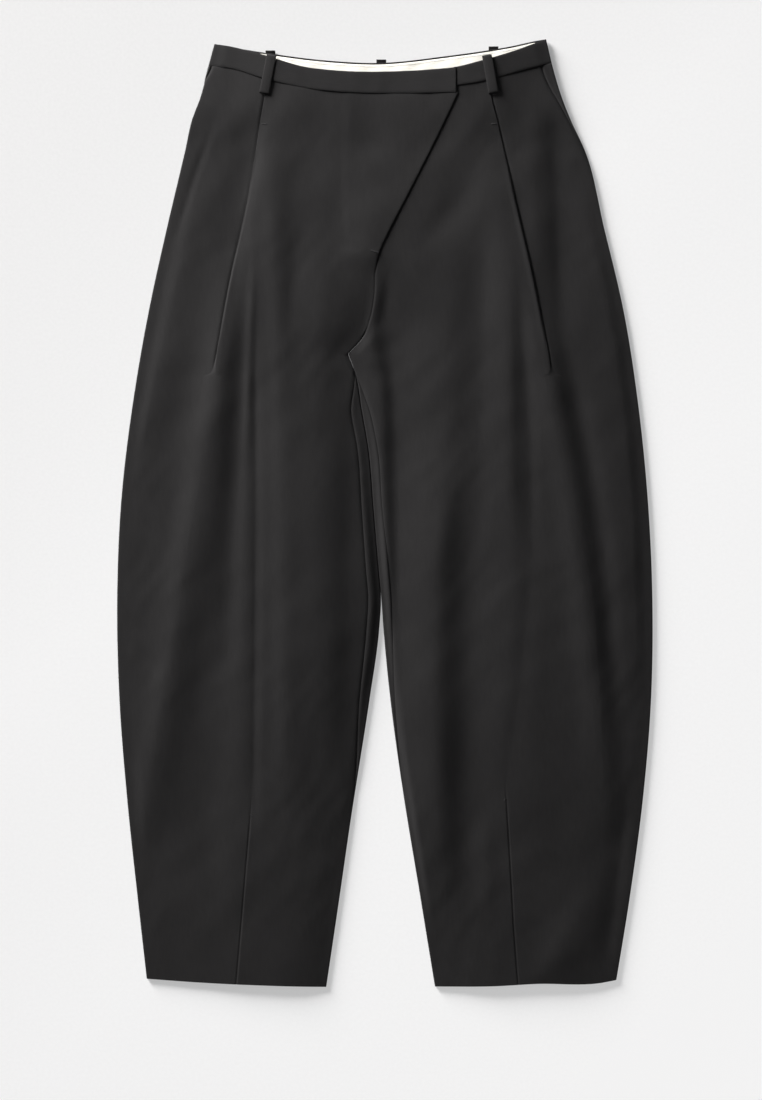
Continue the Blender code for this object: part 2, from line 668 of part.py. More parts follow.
def back_band(name, colour, collection):
    outer, inner = [], []
    for share in np.linspace(0, 1, BACK_BAND_ROWS):

        def y_at(x, share=share):
            return (1 - share) * curve(BACK_WAIST, 1, x) + share * curve(BACK_WAIST, 2, x)

        start, end = band_end(1, y_at), band_end(2, y_at)
        s = np.linspace(HALF_TURN / 2 - SEAM_GAP / 2, 0, BEND_POINTS)
        inward, bend_z = edge_arc(s, y_at(start))
        between = np.linspace(start + EDGE_RADIUS, end - EDGE_RADIUS, BACK_BAND_COLUMNS)[1:-1]
        x = np.concatenate([start + inward, between, (end - inward)[::-1]])
        z = np.concatenate([bend_z, floor_level(y_at(between)), bend_z[::-1]])
        path = np.stack([x, z], axis=1)
        back = path - WALL * outward(path, -1)
        outer.append(np.stack([x, y_at(x), z], axis=1))
        inner.append(np.stack([back[:, 0], y_at(x), back[:, 1]], axis=1))
    return cloth_solid(name, np.array(outer), np.array(inner), colour, collection, True)


def back_facing(name, colour, collection):
    """The facing lies on the inner face of the back band, 2 mm short of its top edge."""
    x = np.linspace(SIDE_GUESS[1] + FACING_SIDE_MARGIN, SIDE_GUESS[2] - FACING_SIDE_MARGIN, FACING_COLUMNS)
    level = BACK_LOOP_HOLLOW + WALL + SEAM_GAP
    y = curve(BACK_WAIST, 1, x)
    rows = [np.stack([x, y - down, np.full_like(x, level)], axis=1) for down in FACING_ROWS]
    low = np.array(rows)
    high = low + np.array([0.0, 0.0, FACING_WALL])
    return cloth_solid(name, high, low, colour, collection, False)


def front_loop(name, top_x, top_y, foot_x, foot_y, side, colour, collection):
    rows = []
    for share in np.linspace(0, 1, LOOP_ROWS):
        middle = np.full(LOOP_COLUMNS, top_x + (foot_x - top_x) * share)
        x = middle + np.linspace(-0.5, 0.5, LOOP_COLUMNS) * LOOP_WIDTH
        y = np.full(LOOP_COLUMNS, top_y + (foot_y - top_y) * share)
        near = np.clip(y, LOOP_LEVEL_LOW, LOOP_LEVEL_HIGH)
        z = front_height(middle, near, side) + LOOP_CLEARANCE + LOOP_CROWN * np.sin(np.pi * share)
        rows.append(np.stack([x, y, z], axis=1))
    low = np.array(rows)
    high = low + np.array([0.0, 0.0, LOOP_WALL])
    return cloth_solid(name, high, low, colour, collection, False)


def back_loop(name, x, top_y, colour, collection):
    across = x + np.linspace(-0.5, 0.5, 3) * LOOP_WIDTH
    rows = [np.stack([across, np.full(3, top_y - LOOP_LENGTH * share), np.zeros(3)], axis=1) for share in (0, 0.5, 1)]
    low = np.array(rows)
    high = low + np.array([0.0, 0.0, LOOP_WALL])
    return cloth_solid(name, high, low, colour, collection, False)


def main():
    for old in list(bpy.data.objects):
        bpy.data.objects.remove(old)
    parts = bpy.data.collections.new("parts")
    bpy.context.scene.collection.children.link(parts)
    pieces = [
        panel("front_right_leg", 1, front_row, WOOL, parts),
        panel("front_left_leg", -1, front_row, WOOL, parts),
        panel("back_right_leg", 1, back_row, WOOL, parts),
        panel("back_left_leg", -1, back_row, WOOL, parts),
        front_band("waistband_front_right", 1, BAND_END_RIGHT, BAND, parts),
        front_band("waistband_front_left", -1, BAND_END_LEFT, BAND, parts),
        back_band("waistband_back", BAND, parts),
        back_facing("waistband_facing_back", CREAM, parts),
    ]
    for (name, top_x, top_y, foot_x, foot_y), side in zip(FRONT_LOOPS, (1, -1)):
        pieces.append(front_loop(name, top_x, top_y, foot_x, foot_y, side, BAND, parts))
    for name, x, top_y in BACK_LOOPS:
        pieces.append(back_loop(name, x, top_y, BAND, parts))

    corners = np.array([tuple(v.co) for piece in pieces for v in piece.data.vertices])
    low, high = corners.min(axis=0), corners.max(axis=0)
    shift = np.array([(low[0] + high[0]) / 2, (low[1] + high[1]) / 2, low[2]])
    for piece in pieces:
        for vertex in piece.data.vertices:
            vertex.co = np.array(vertex.co) - shift
    print("shift to the middle, mm:", np.round(shift * 1000, 3))


main()
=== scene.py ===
# Barrel leg trousers laid flat on their back: wool cloth, seams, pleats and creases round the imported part.
# X runs to the photo's right and Y from hems to waist. The tables are in millimetres, and the wearer's
# right leg has negative X.
import math
import bpy
import numpy as np
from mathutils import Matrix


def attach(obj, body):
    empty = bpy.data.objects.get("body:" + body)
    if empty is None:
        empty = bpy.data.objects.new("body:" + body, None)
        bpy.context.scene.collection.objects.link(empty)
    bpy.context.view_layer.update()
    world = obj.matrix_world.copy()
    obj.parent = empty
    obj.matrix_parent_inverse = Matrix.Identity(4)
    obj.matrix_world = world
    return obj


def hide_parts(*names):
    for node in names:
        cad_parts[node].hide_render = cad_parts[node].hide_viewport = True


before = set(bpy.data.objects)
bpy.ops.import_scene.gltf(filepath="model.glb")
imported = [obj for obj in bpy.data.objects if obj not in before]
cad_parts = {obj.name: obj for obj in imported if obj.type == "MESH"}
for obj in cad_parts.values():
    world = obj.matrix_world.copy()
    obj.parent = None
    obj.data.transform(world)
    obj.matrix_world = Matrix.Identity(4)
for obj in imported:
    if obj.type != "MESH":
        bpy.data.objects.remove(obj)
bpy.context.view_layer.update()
print("frame loaded")

millimetre = 0.001
shift = np.array([0.132, -0.384, 0.0])  # from the tables' middle to the part's own origin

cloth = {
    "wall": 0.65,
    "seamGap": -0.15,
    "turnGap": 0.3,
    "edgeRadius": 1.7,
    "cadWall": 1.2,
    "rowStep": 3.2,
    "seamDip": 0.55,
    "seamDipReach": 1.1,
    "waistDip": 0.2,
}
halfTurn = math.pi * cloth["edgeRadius"]

levelsOfY = {
    "waistSeam": 453.0,
    "crotch": 173.5,
    "innerTop": 290.0,
    "overlapFoot": 284.0,
    "flapFlat": 259.0,
    "crotchOpen": 205.0,
    "legsJoin": 286.0,
    "swellSplit": 113.0,
    "hem": -510.5,
    "warpEnd": 255.0,
    "hemWarpEnd": -330.0,
}
flap = {"rise": 1.0, "climb": 48.0, "clear": 5.0}
pleat = {
    "underTurn": 0.12,
    "overTurn": 0.72,
    "clear": 5.0,
    "fade": 70.0,
    "foldReach": 3.0,
    "ramp": 20.0,
    "creaseClear": 9.5,
}
# The rolled edge of each pleat's fold. Pairs are levels of Y between which it starts or ends
lip = {
    "right": 0.15,
    "left": 0.5,
    "past": 1.9,
    "before": 1.5,
    "beyond": 2.6,
    "top": (390.0, 330.0),
    "foot": (130.0, 240.0),
}
# The side panel rises beside the fold, by the whole rise at the stitched top and by a share of it below
tuck = {
    "rise": 1.25,
    "beyond": 1.9,
    "right": {"past": -3.2, "before": 38.0, "foot": (405.0, 428.0), "share": 0.75},
    "left": {"past": -3.0, "before": 24.0, "foot": (340.0, 420.0), "share": 0.72},
}
# The least share near the pleat's end, and the levels of Y between which it starts and all of it ends
pleatEnd = {"top": (250.0, 195.0), "foot": (146.0, 176.0), "share": 0.75}
pleatStep = 2 * (pleat["underTurn"] + pleat["overTurn"])

# Columns: y, depth of the fold
pleatDepth = ((470, 12.0), (395, 12.0), (330, 10.0), (265, 7.0), (225, 4.0), (185, 1.5), (140, 1.5))
# Columns: y, angle in degrees that the cloth turns through
pleatAngle = ((470, 180.0), (184, 180.0), (177, 120.0), (168, 60.0), (158, 25.0), (150, 3.2))
# Columns: y, share of the fold's height that is left
pleatRise = ((470, 1.0), (180, 1.0), (150, 0.6), (105, 0.25), (50, 0.03), (15, 0.0), (-520, 0.0))
# Columns: y, height over the trunk, over each leg
puff = (
    (520, 5.4, 6.0),
    (450, 6.0, 6.2),
    (380, 6.4, 6.4),
    (265, 7.0, 6.6),
    (174, 7.0, 6.8),
    (60, 7.0, 7.0),
    (-80, 7.0, 7.2),
    (-200, 7.0, 6.8),
    (-330, 7.0, 5.8),
    (-430, 7.0, 4.8),
    (-515, 7.0, 4.2),
)
# Columns: y, x of the right side, x of the left side
outline = (
    (515.0, -184.0, 175.0),
    (478.0, -194.0, 184.0),
    (452.0, -201.0, 192.0),
    (428.0, -210.0, 201.5),
    (395.0, -217.5, 217.0),
    (308.0, -238.0, 239.0),
    (221.0, -257.0, 259.5),
    (123.0, -274.0, 275.0),
    (15.0, -287.0, 286.0),
    (-94.0, -291.5, 291.0),
    (-203.0, -289.0, 289.5),
    (-312.0, -280.5, 280.5),
    (-420.0, -269.0, 266.0),
    (-518.0, -258.0, 250.0),
)
# Columns: y, x of the right leg, x of the left leg, roll of the inseam on the right leg, on the left leg
inner = (
    (173.5, -40.0, -40.0, 0.0, 0.0),
    (151.0, -32.0, -32.0, 5.0, 3.0),
    (113.0, -25.5, -25.5, 10.0, 7.0),
    (69.0, -18.0, -18.0, 10.0, 8.5),
    (4.0, -12.5, -12.5, 11.0, 8.0),
    (-61.0, -7.0, -7.0, 12.0, 10.0),
    (-92.0, -4.5, -4.0, 12.0, 9.5),
    (-127.0, -6.5, -1.5, 12.0, 8.0),
    (-203.0, -17.0, 6.0, 9.0, 3.0),
    (-312.0, -34.0, 21.0, 0.0, 0.0),
    (-420.0, -49.5, 38.5, 0.0, 0.0),
    (-518.0, -64.0, 54.5, 0.0, 0.0),
)
# Where the legs' swell ends from the level of swellSplit up, past the notch of the crotch. Columns: y, x
swellInside = (
    (300.0, -12.0),
    (262.0, -13.0),
    (209.0, -19.0),
    (173.5, -27.5),
    (145.0, -28.0),
    (113.0, -26.0),
    (80.0, -25.5),
)
# Columns: y, x of the flap's edge, x where the left front ends beneath it
centreFront = (
    (500.0, 98.5, 74.0),
    (455.0, 78.5, 55.0),
    (395.0, 49.5, 26.5),
    (341.0, 22.0, 6.0),
    (308.0, 5.0, -2.0),
    (284.0, -6.0, -6.0),
    (262.0, -10.5, -10.5),
    (238.0, -11.5, -11.5),
    (209.0, -17.0, -17.0),
    (190.0, -25.0, -25.0),
    (178.0, -35.5, -35.5),
    (173.5, -40.0, -40.0),
)
# Columns: y, x
centreBack = (
    (500.0, -4.0),
    (360.0, -4.0),
    (284.0, -7.0),
    (238.0, -11.5),
    (209.0, -17.0),
    (190.0, -25.0),
    (178.0, -35.5),
    (173.5, -40.0),
)
# The fly's layers beneath the flap show as a faint step. Columns: y, x
flyLine = ((470, -42.5), (320, -42.4), (300, -41.0), (291, -36.0), (286, -27.0), (282, -12.0), (276, 4.0))
fly = {"rise": 0.4, "soft": 2.4, "foot": (276.0, 282.0)}
# A ridge curves across the fly's foot, and fades out between two places in X at each end
flyRidge = {
    "rise": 0.42,
    "above": 3.6,
    "below": 12.0,
    "y": 281.5,
    "bow": 3.0,
    "middle": -12.0,
    "halfWidth": 30.0,
    "rightEnd": (-52.0, -34.0),
    "leftEnd": (0.0, -12.0),
}
# The swell is lower towards both sides, and on the left leg it keeps off a strip along the inner edge
lowSides = {"right": 0.8, "left": 0.4, "from": 60.0, "to": 255.0}
insideStrip = {"width": 15.0, "foot": (-230.0, -120.0), "top": (260.0, 200.0)}
# The swell is pressed down round the crotch's tip
crotchDip = {"share": 0.6, "reach": 20.0}
domePower = 1.2
# A crease fades out round each end, over these shares of its length up to the most that follows
creaseFade = {"within": 0.32, "withinMost": 110.0, "past": 0.16, "pastMost": 45.0}
# Creases fade out within these distances of the sides, and of the inner edges below the crotch
creaseEdge = {"side": 18.0, "inside": 9.0, "aboveCrotch": 40.0, "back": 12.0}
ripple = {"fine": 0.13, "slow": 0.21}
# How far each side seam is rolled onto the front, and the levels of Y between which the roll grows
sideRoll = {
    "right": 2.0,
    "rightRise": (462.0, 485.0),
    "leftRise": (335.0, 428.0),
    "pocket": 9.5,
    "pocketRise": (412.0, 490.0),
}
inseamRoll = {"top": 105.0, "foot": (-420.0, -200.0)}
# The strip outside the left pocket's line lies a little lower
pocket = {"step": 0.2, "rise": (375.0, 430.0), "soft": 3.0}
# How much of the seams' dip is left. Columns: y, share
sideDip = ((380.0, 1.0), (430.0, 1.6))
innerDip = ((120.0, 1.0), (165.0, 0.4), (262.0, 0.4), (300.0, 0.2))
# Columns: x, y of the band's top edge, y of its seam with the panel
frontRightWaist = (
    (-196.0, 511.5, 486.5),
    (-164.0, 506.0, 482.0),
    (-136.0, 498.5, 473.0),
    (-87.0, 484.0, 461.0),
    (-54.0, 480.0, 457.0),
    (27.0, 479.5, 455.0),
    (84.0, 483.5, 456.0),
)
frontLeftWaist = (
    (43.0, 480.0, 456.5),
    (76.0, 483.5, 463.0),
    (109.0, 492.0, 468.5),
    (141.0, 502.0, 478.0),
    (176.0, 514.5, 488.0),
    (186.0, 516.5, 491.0),
)
backWaist = (
    (-196.0, 511.5, 486.5),
    (-136.0, 501.5, 476.5),
    (-61.0, 492.0, 467.0),
    (-9.0, 489.5, 464.5),
    (63.0, 496.5, 471.5),
    (134.0, 507.0, 480.5),
    (174.0, 515.0, 487.0),
    (186.0, 516.0, 490.5),
)
# Columns: x, y
hemLine = (
    (-266.0, -505.0),
    (-200.0, -509.5),
    (-113.0, -513.0),
    (-54.0, -514.5),
    (49.0, -514.0),
    (121.0, -513.0),
    (165.0, -510.5),
    (234.0, -510.0),
    (256.0, -506.0),
)
# Columns: y, x of the right fold, x of the right crease, x of the left fold, x of the left crease
pleatLines = (
    (490.0, -128.0, -131.0, 111.0, 114.0),
    (455.0, -129.5, -131.5, 114.0, 116.0),
    (422.0, -135.0, -132.5, 122.0, 122.0),
    (341.0, -148.5, -134.0, 141.0, 131.0),
    (254.0, -167.5, -137.5, 161.0, 141.5),
    (167.0, -183.0, -139.5, 178.0, 151.0),
    (58.0, -203.0, -140.5, 200.0, 157.0),
    (-61.0, -222.0, -142.0, 226.0, 157.0),
    (-203.0, -233.5, -143.0, 238.0, 143.0),
    (-312.0, -239.5, -145.0, 241.0, 129.0),
    (-388.0, -240.0, -151.0, 238.0, 135.0),
    (-518.0, -238.0, -162.0, 229.0, 145.0),
)

# Soft troughs and ridges of the front. Columns: where, top y, x, middle y, x, foot y, x, rise,
# width towards the right side, width towards the left side
frontCreases = (
    ("right hip, dip into the pleat", 430, -138, 350, -152, 262, -168, -2.8, 24, 10),
    ("right hip, thin dip", 420, -187, 353, -211, 300, -227, -0.7, 5, 4),
    ("right hip, slanting ridge", 350, -202, 200, -235, 50, -269, 2.0, 12, 24),
    ("right thigh, long ridge from the pleat", 245, -165, -20, -208, -350, -262, 4.2, 19, 26),
    ("right thigh, valley beside it", 262, -152, 60, -162, -190, -172, -2.4, 14, 10),
    ("right knee, valley", -40, -192, -200, -188, -400, -186, -1.8, 30, 26),
    ("right thigh, narrow ridge", 270, -143, 170, -147, 60, -150, 0.9, 4, 4),
    ("right crease, narrow trough", 200, -141, -50, -140, -340, -143, -1.3, 6, 6),
    ("right crease, ridge beside it", 410, -124, 123, -113, -310, -106, 1.9, 13, 17),
    ("right hip, dip below the band", 298, -96, 243, -98, 183, -102, -1.0, 12, 18),
    ("right inner thigh, swell", 140, -78, -50, -72, -240, -74, 2.7, 34, 36),
    ("right inseam trough", 130, -42, -51, -39, -250, -43, -0.7, 12, 12),
    ("right hem, swell", -320, -178, -385, -168, -440, -165, 1.2, 14, 24),
    ("left crease, its groove", 236, 147, 60, 158, -60, 160, -1.2, 9, 8),
    ("left crease, lower part", -60, 158, -180, 148, -300, 134, -0.8, 10, 10),
    ("left thigh, ridge within the crease", 262, 136, 100, 136, -40, 139, 1.3, 12, 8),
    ("left thigh, trough within the crease", 330, 106, 145, 101, -20, 102, -2.2, 24, 15),
    ("left hip, ridge", 445, 160, 330, 163, 225, 164, 1.4, 14, 14),
    ("left hip, dip", 430, 186, 319, 189, 200, 192, -1.4, 9, 18),
    ("left thigh, ridge from the pleat", 232, 165, 15, 202, -330, 244, 3.0, 16, 16),
    ("left thigh, long trough", 205, 191, 10, 228, -230, 253, -2.0, 12, 12),
    ("left inseam trough", 250, 6, -20, 14, -190, 10, -2.4, 9, 50),
    ("left inseam, ridge beside it", 215, -8, 20, -2, -190, 3, 1.7, 20, 8),
    ("left inner thigh, broad trough", 190, 72, 40, 74, -140, 76, -1.4, 40, 80),
    ("left inner thigh, ridge", 215, 64, 60, 62, -60, 58, 0.7, 30, 20),
    ("left knee to hem, deep fold", 60, 58, -170, 51, -430, 60, 6.4, 52, 25),
    ("left knee to hem, trough beside it", 20, 94, -200, 90, -420, 86, -2.6, 22, 32),
    ("left shin, small ridge", -335, 108, -380, 110, -440, 112, 0.9, 12, 10),
    ("left knee, swell", -40, 150, -181, 150, -333, 154, 1.0, 32, 32),
    ("left hem, outer dip", -301, 262, -399, 254, -496, 240, -1.3, 16, 12),
    ("left thigh, outer swell", 340, 224, 120, 258, -160, 272, 1.4, 30, 12),
    ("left front, slanting dip from the flap", 412, 112, 350, 84, 285, 42, -1.6, 19, 20),
    ("left hem, slanting ridge", -400, 224, -455, 200, -510, 172, 2.0, 17, 28),
    ("crotch, lit ridge by the seam", 262, -4, 205, -14, 165, -30, 0.5, 5, 5),
    ("crotch, trough beside it", 250, 1, 195, -4, 150, 0, -1.3, 6, 8),
    ("crotch, lit patch", 204, -6, 184, -14, 156, -17, 1.0, 12, 15),
    ("front, shade under the band", 448, -30, 420, -20, 380, 4, -1.1, 22, 22),
    ("flap, light patch", 345, -12, 300, -14, 262, -20, 0.9, 20, 20),
)

# Shallow creases of the back, which lies on the surface. Columns as above
backCreases = (
    ("right seat, slanting", 330, -120, 250, -95, 190, -60, 1.1, 14, 10),
    ("left seat, slanting", 320, 110, 245, 82, 185, 40, 1.2, 10, 14),
    ("right thigh, long", 150, -150, -20, -158, -240, -150, 1.0, 12, 14),
    ("left thigh, long", 120, 150, -60, 162, -280, 148, 1.1, 14, 11),
    ("right knee, outer", -60, -232, -190, -236, -330, -226, 0.8, 10, 13),
    ("left knee, outer", -40, 236, -170, 240, -300, 232, 0.9, 12, 10),
    ("right shin, inner", -200, -80, -300, -86, -420, -92, 0.9, 9, 11),
    ("left shin, inner", -220, 76, -330, 84, -430, 92, 0.8, 10, 8),
)

# Belt loops. Columns: piece, node, top x, top y, foot x, foot y
frontLoops = (
    ("frontRightLoop", "belt_loop_front_right", -122.9, 496.4, -131.1, 455.0),
    ("frontLeftLoop", "belt_loop_front_left", 110.2, 496.0, 117.5, 455.0),
)
# Columns: piece, node, x, top y
backLoops = (
    ("backRightLoop", "belt_loop_back_right", -124.5, 503.2),
    ("backCentreLoop", "belt_loop_back_centre", -4.0, 493.4),
    ("backLeftLoop", "belt_loop_back_left", 118.0, 507.6),
)
# The back rides on its belt loops at the waist, and comes down to the surface between two levels of Y
backLoopHollow = 1.8
hollowRise = (395.0, 448.0)


def smooth(start, end, at):  # 0 before start, 1 past end, and 3 u squared less 2 u cubed between
    u = np.clip((np.asarray(at, float) - start) / (end - start), 0, 1)
    return u * u * (3 - 2 * u)


def curve(table, column, at):  # a cubic between each two rows, with the slope of their neighbours
    rows = np.array(sorted(table), float)
    x, v = rows[:, 0], rows[:, column]
    slope = np.gradient(v, x)
    at = np.asarray(at, float)
    i = np.clip(np.searchsorted(x, at) - 1, 0, len(x) - 2)
    h = x[i + 1] - x[i]
    u = np.clip((at - x[i]) / h, 0, 1)
    start = v[i] * (1 + 2 * u) + h * slope[i] * u
    end = v[i + 1] * (3 - 2 * u) - h * slope[i + 1] * (1 - u)
    return start * (1 - u) ** 2 + end * u**2


def sideName(side):
    return "right" if side > 0 else "left"


def floorLevel(y):  # the back rides on its belt loops at the waist
    return backLoopHollow * smooth(*hollowRise, y)


def innerEdge(y, side):  # the leg's inner edge, or the centre front above the crotch, upright past innerTop
    gap = side * cloth["seamGap"] / 2
    above = curve(centreFront, 1, np.minimum(y, levelsOfY["innerTop"])) - gap
    return np.where(y >= levelsOfY["crotch"], above, curve(inner, 1 if side > 0 else 2, y) - gap)


def bell(past, before, beyond):  # 1 at the middle, with a width of its own on each side
    return np.exp(-((past / np.where(past < 0, before, beyond)) ** 2))


def creases(x, y, table):  # each is a bell across a smooth line, and fades out at its two ends
    total = np.zeros(np.broadcast(x, y).shape)
    for _, top, topX, middle, middleX, foot, footX, rise, before, beyond in table:
        centre = curve(((top, topX), (middle, middleX), (foot, footX)), 1, y)
        within = min(creaseFade["within"] * (top - foot), creaseFade["withinMost"])
        past = min(creaseFade["past"] * (top - foot), creaseFade["pastMost"])
        ends = smooth(foot - past, foot + within, y) * (1 - smooth(top - within, top + past, y))
        total += rise * ends * bell(x - centre, before, beyond)
    return total


def pastFold(x, y, side):  # distance from the pleat's fold towards the centre
    return side * (x - curve(pleatLines, 1 if side > 0 else 3, y))


def tuckRise(x, y, side):  # the side panel comes up to the stitched tuck
    form = tuck[sideName(side)]
    share = form["share"] + (1 - form["share"]) * smooth(*form["foot"], y)
    share = np.maximum(share, pleatEnd["share"] * smooth(*pleatEnd["top"], y)) * smooth(*pleatEnd["foot"], y)
    return tuck["rise"] * share * bell(pastFold(x, y, side) - form["past"], form["before"], tuck["beyond"])


def lipRise(x, y, side):  # the rolled edge of the pleat
    share = smooth(*lip["top"], y) * smooth(*lip["foot"], y)
    across = bell(pastFold(x, y, side) - lip["past"], lip["before"], lip["beyond"])
    return lip[sideName(side)] * share * across


def dome(x, start, end):  # rises from both ends to a flat top, which lies a little towards the left side
    u = np.clip((x - start) / (end - start), 0, 1) ** domePower
    return 1 - (1 - np.sin(np.pi * u) ** domePower) ** 2


def sideShare(x):  # how much of the swell is left at x
    share = np.where(x < 0, lowSides["right"], lowSides["left"])
    return 1 - share * smooth(lowSides["from"], lowSides["to"], np.abs(x))


def unevenness(x, y):  # wool's own waves, a few centimetres long and up to a third of a millimetre high
    # Each divisor is a wave's length in millimetres over two pi
    fine = np.sin(x / 5.3 + 1.9 * np.sin(y / 19.0 + 0.7)) * np.sin(y / 8.6 + 2.2 * np.sin(x / 27.0))
    slow = np.sin(x / 11.0 - y / 23.0 + 2.0 * np.sin(y / 41.0))
    slow = slow * np.sin(y / 29.0 + 1.6 * np.sin(x / 37.0 + 1.1))
    patches = 0.6 + 0.4 * np.sin(x / 67.0 + y / 83.0)
    return ripple["fine"] * fine * patches + ripple["slow"] * slow


def flyStep(x, y):  # the step by the fly's layers, and the ridge across their foot
    ridgeY = flyRidge["y"] + flyRidge["bow"] * ((x - flyRidge["middle"]) / flyRidge["halfWidth"]) ** 2
    ridge = flyRidge["rise"] * bell(ridgeY - y, flyRidge["above"], flyRidge["below"])
    ridge = ridge * smooth(*flyRidge["rightEnd"], x) * smooth(*flyRidge["leftEnd"], x)
    step = fly["rise"] * smooth(-fly["soft"], fly["soft"], x - curve(flyLine, 1, y))
    return step * smooth(*fly["foot"], y) + ridge


def frontHeight(x, y, side):  # floor, two edge radii, the swell of trunk or leg, and the creases
    radius = cloth["edgeRadius"]
    right = curve(outline, 1, y) + radius
    left = curve(outline, 2, y) - radius
    inside = innerEdge(y, side) - side * radius
    crotch, crotchTip = levelsOfY["crotch"], inner[0][1]
    swellEnd = np.where(y > levelsOfY["swellSplit"], curve(swellInside, 1, y), innerEdge(y, side))
    swellEnd = swellEnd - side * radius
    strip = insideStrip["width"] * smooth(*insideStrip["foot"], y) * smooth(*insideStrip["top"], y)
    leg = dome(x, right, swellEnd) if side > 0 else dome(x, swellEnd + strip, left)
    fromTip = np.hypot(x - crotchTip, y - crotch)
    leg = leg * (1 - crotchDip["share"] * np.exp(-((fromTip / crotchDip["reach"]) ** 2)))
    legShare = 1 - smooth(crotch, levelsOfY["legsJoin"], y)
    swell = (1 - legShare) * curve(puff, 1, y) * dome(x, right, left) + legShare * curve(puff, 2, y) * leg
    swell = swell * sideShare(x)
    below = smooth(crotch + creaseEdge["aboveCrotch"], crotch, y)
    edge = smooth(0, creaseEdge["side"], x - right) * smooth(0, creaseEdge["side"], left - x)
    edge = edge * (1 - below + below * smooth(0, creaseEdge["inside"], side * (inside - x)))
    relief = creases(x, y, frontCreases) + unevenness(x, y)
    return floorLevel(y) + 2 * radius + swell + edge * relief + tuckRise(x, y, side)


def pleatLift(x, y):  # the centre side stands over both pleats, and comes down again towards the centre
    clear = curve(pleatDepth, 1, y) + pleat["clear"]
    share = 0.0
    for past in (x - curve(pleatLines, 1, y), curve(pleatLines, 3, y) - x):
        share = np.maximum(share, (past >= -pleat["foldReach"]) * (1 - smooth(clear, pleat["fade"], past)))
    return pleatStep * np.maximum(curve(pleatRise, 1, y), 0) * share


def flapLift(x, y):  # the flap lies over the end of the left front
    end = curve(centreFront, 2, np.maximum(y, levelsOfY["overlapFoot"])) - flap["clear"]
    over = smooth(end - flap["climb"], end, x)
    return flap["rise"] * over * smooth(levelsOfY["flapFlat"], levelsOfY["overlapFoot"], y)


def frontTop(x, y, side):  # the front's outer face on the centre side of the pleat
    z = frontHeight(x, y, side) + pleatLift(x, y) + lipRise(x, y, side)
    return z + flapLift(x, y) + flyStep(x, y) if side > 0 else z


def pathNormals(x, z, facing):  # unit normals of rows of points, lengthened at corners to keep the wall
    step = np.stack([np.diff(x, axis=1), np.diff(z, axis=1)], axis=-1)
    step /= np.linalg.norm(step, axis=-1, keepdims=True)
    first = 1.5 * step[:, :1] - 0.5 * step[:, 1:2]
    last = 1.5 * step[:, -1:] - 0.5 * step[:, -2:-1]
    first /= np.linalg.norm(first, axis=-1, keepdims=True)
    last /= np.linalg.norm(last, axis=-1, keepdims=True)
    before = np.concatenate([first, step], axis=1)
    after = np.concatenate([step, last], axis=1)
    turned = facing * np.stack([-(before + after)[..., 1], (before + after)[..., 0]], axis=-1)
    turned /= np.linalg.norm(turned, axis=-1, keepdims=True)
    straight = facing * np.stack([-before[..., 1], before[..., 0]], axis=-1)
    return turned / np.maximum((turned * straight).sum(axis=-1, keepdims=True), 0.6)


def edgeArc(s, y):  # a folded edge: distance inward and height, by the length s from the underside
    radius = cloth["edgeRadius"]
    angle = np.clip(s, 0, halfTurn) / radius
    inward = radius * (1 - np.sin(angle)) + np.maximum(s - halfTurn, 0) + np.maximum(-s, 0)
    return inward, floorLevel(y) + radius * (1 - np.cos(angle))


def sideSeam(y, side):  # half way up the folded edge, and rolled onto the front by the left pocket
    middle = halfTurn / 2
    if side > 0:
        return middle + (middle + sideRoll["right"]) * smooth(*sideRoll["rightRise"], y)
    byPocket = sideRoll["pocket"] * smooth(*sideRoll["pocketRise"], y)
    return middle + middle * smooth(*sideRoll["leftRise"], y) + byPocket


def inseam(y, side):  # half way up the folded edge, and rolled onto the front along the thigh
    middle = halfTurn / 2
    crotch = levelsOfY["crotch"]
    rolled = curve(inner, 3 if side > 0 else 4, np.minimum(y, crotch))
    along = smooth(crotch + 2, inseamRoll["top"], y) * smooth(*inseamRoll["foot"], y)
    return middle + (middle + rolled) * along


def turningGap(seam):  # the gap widens while the seam climbs round a folded edge
    climb = np.clip(seam / halfTurn * 2 - 1, 0, 1)
    return cloth["seamGap"] / 2 + cloth["turnGap"] * climb * (1 - climb)


def settle(level, warp, xOf):  # (x, y) on a line, on each row
    y = level
    for _ in range(6):
        y = level + warp(xOf(y), level)
    return xOf(y), y


def panelWarp(waist):  # how far a panel's rows move in Y, so that they follow its waist seam and its hem
    def warp(x, level):
        top = curve(waist, 2, x) - cloth["seamGap"] - levelsOfY["waistSeam"]
        low = curve(hemLine, 1, x) - levelsOfY["hem"]
        waistShare = smooth(levelsOfY["warpEnd"], levelsOfY["waistSeam"], level)
        return top * waistShare + low * smooth(levelsOfY["hemWarpEnd"], levelsOfY["hem"], level)

    return warp


def frontWarp(side):
    return panelWarp(frontRightWaist if side > 0 else frontLeftWaist)


def panelLevels():  # rows from waist to hem, closer together where the pleat opens and at both ends
    marks = np.array([453.0, 451.5, 449.0, 190.0, 148.0, -507.0, -509.3, -510.5])
    steps = np.array([1.5, 2.5, cloth["rowStep"], 1.6, cloth["rowStep"], 2.3, 1.2])
    counts = np.maximum(1, np.round(-np.diff(marks) / steps).astype(int))
    parts = [np.linspace(a, b, n, endpoint=False) for a, b, n in zip(marks[:-1], marks[1:], counts)]
    return np.concatenate([*parts, marks[-1:]])[:, None]


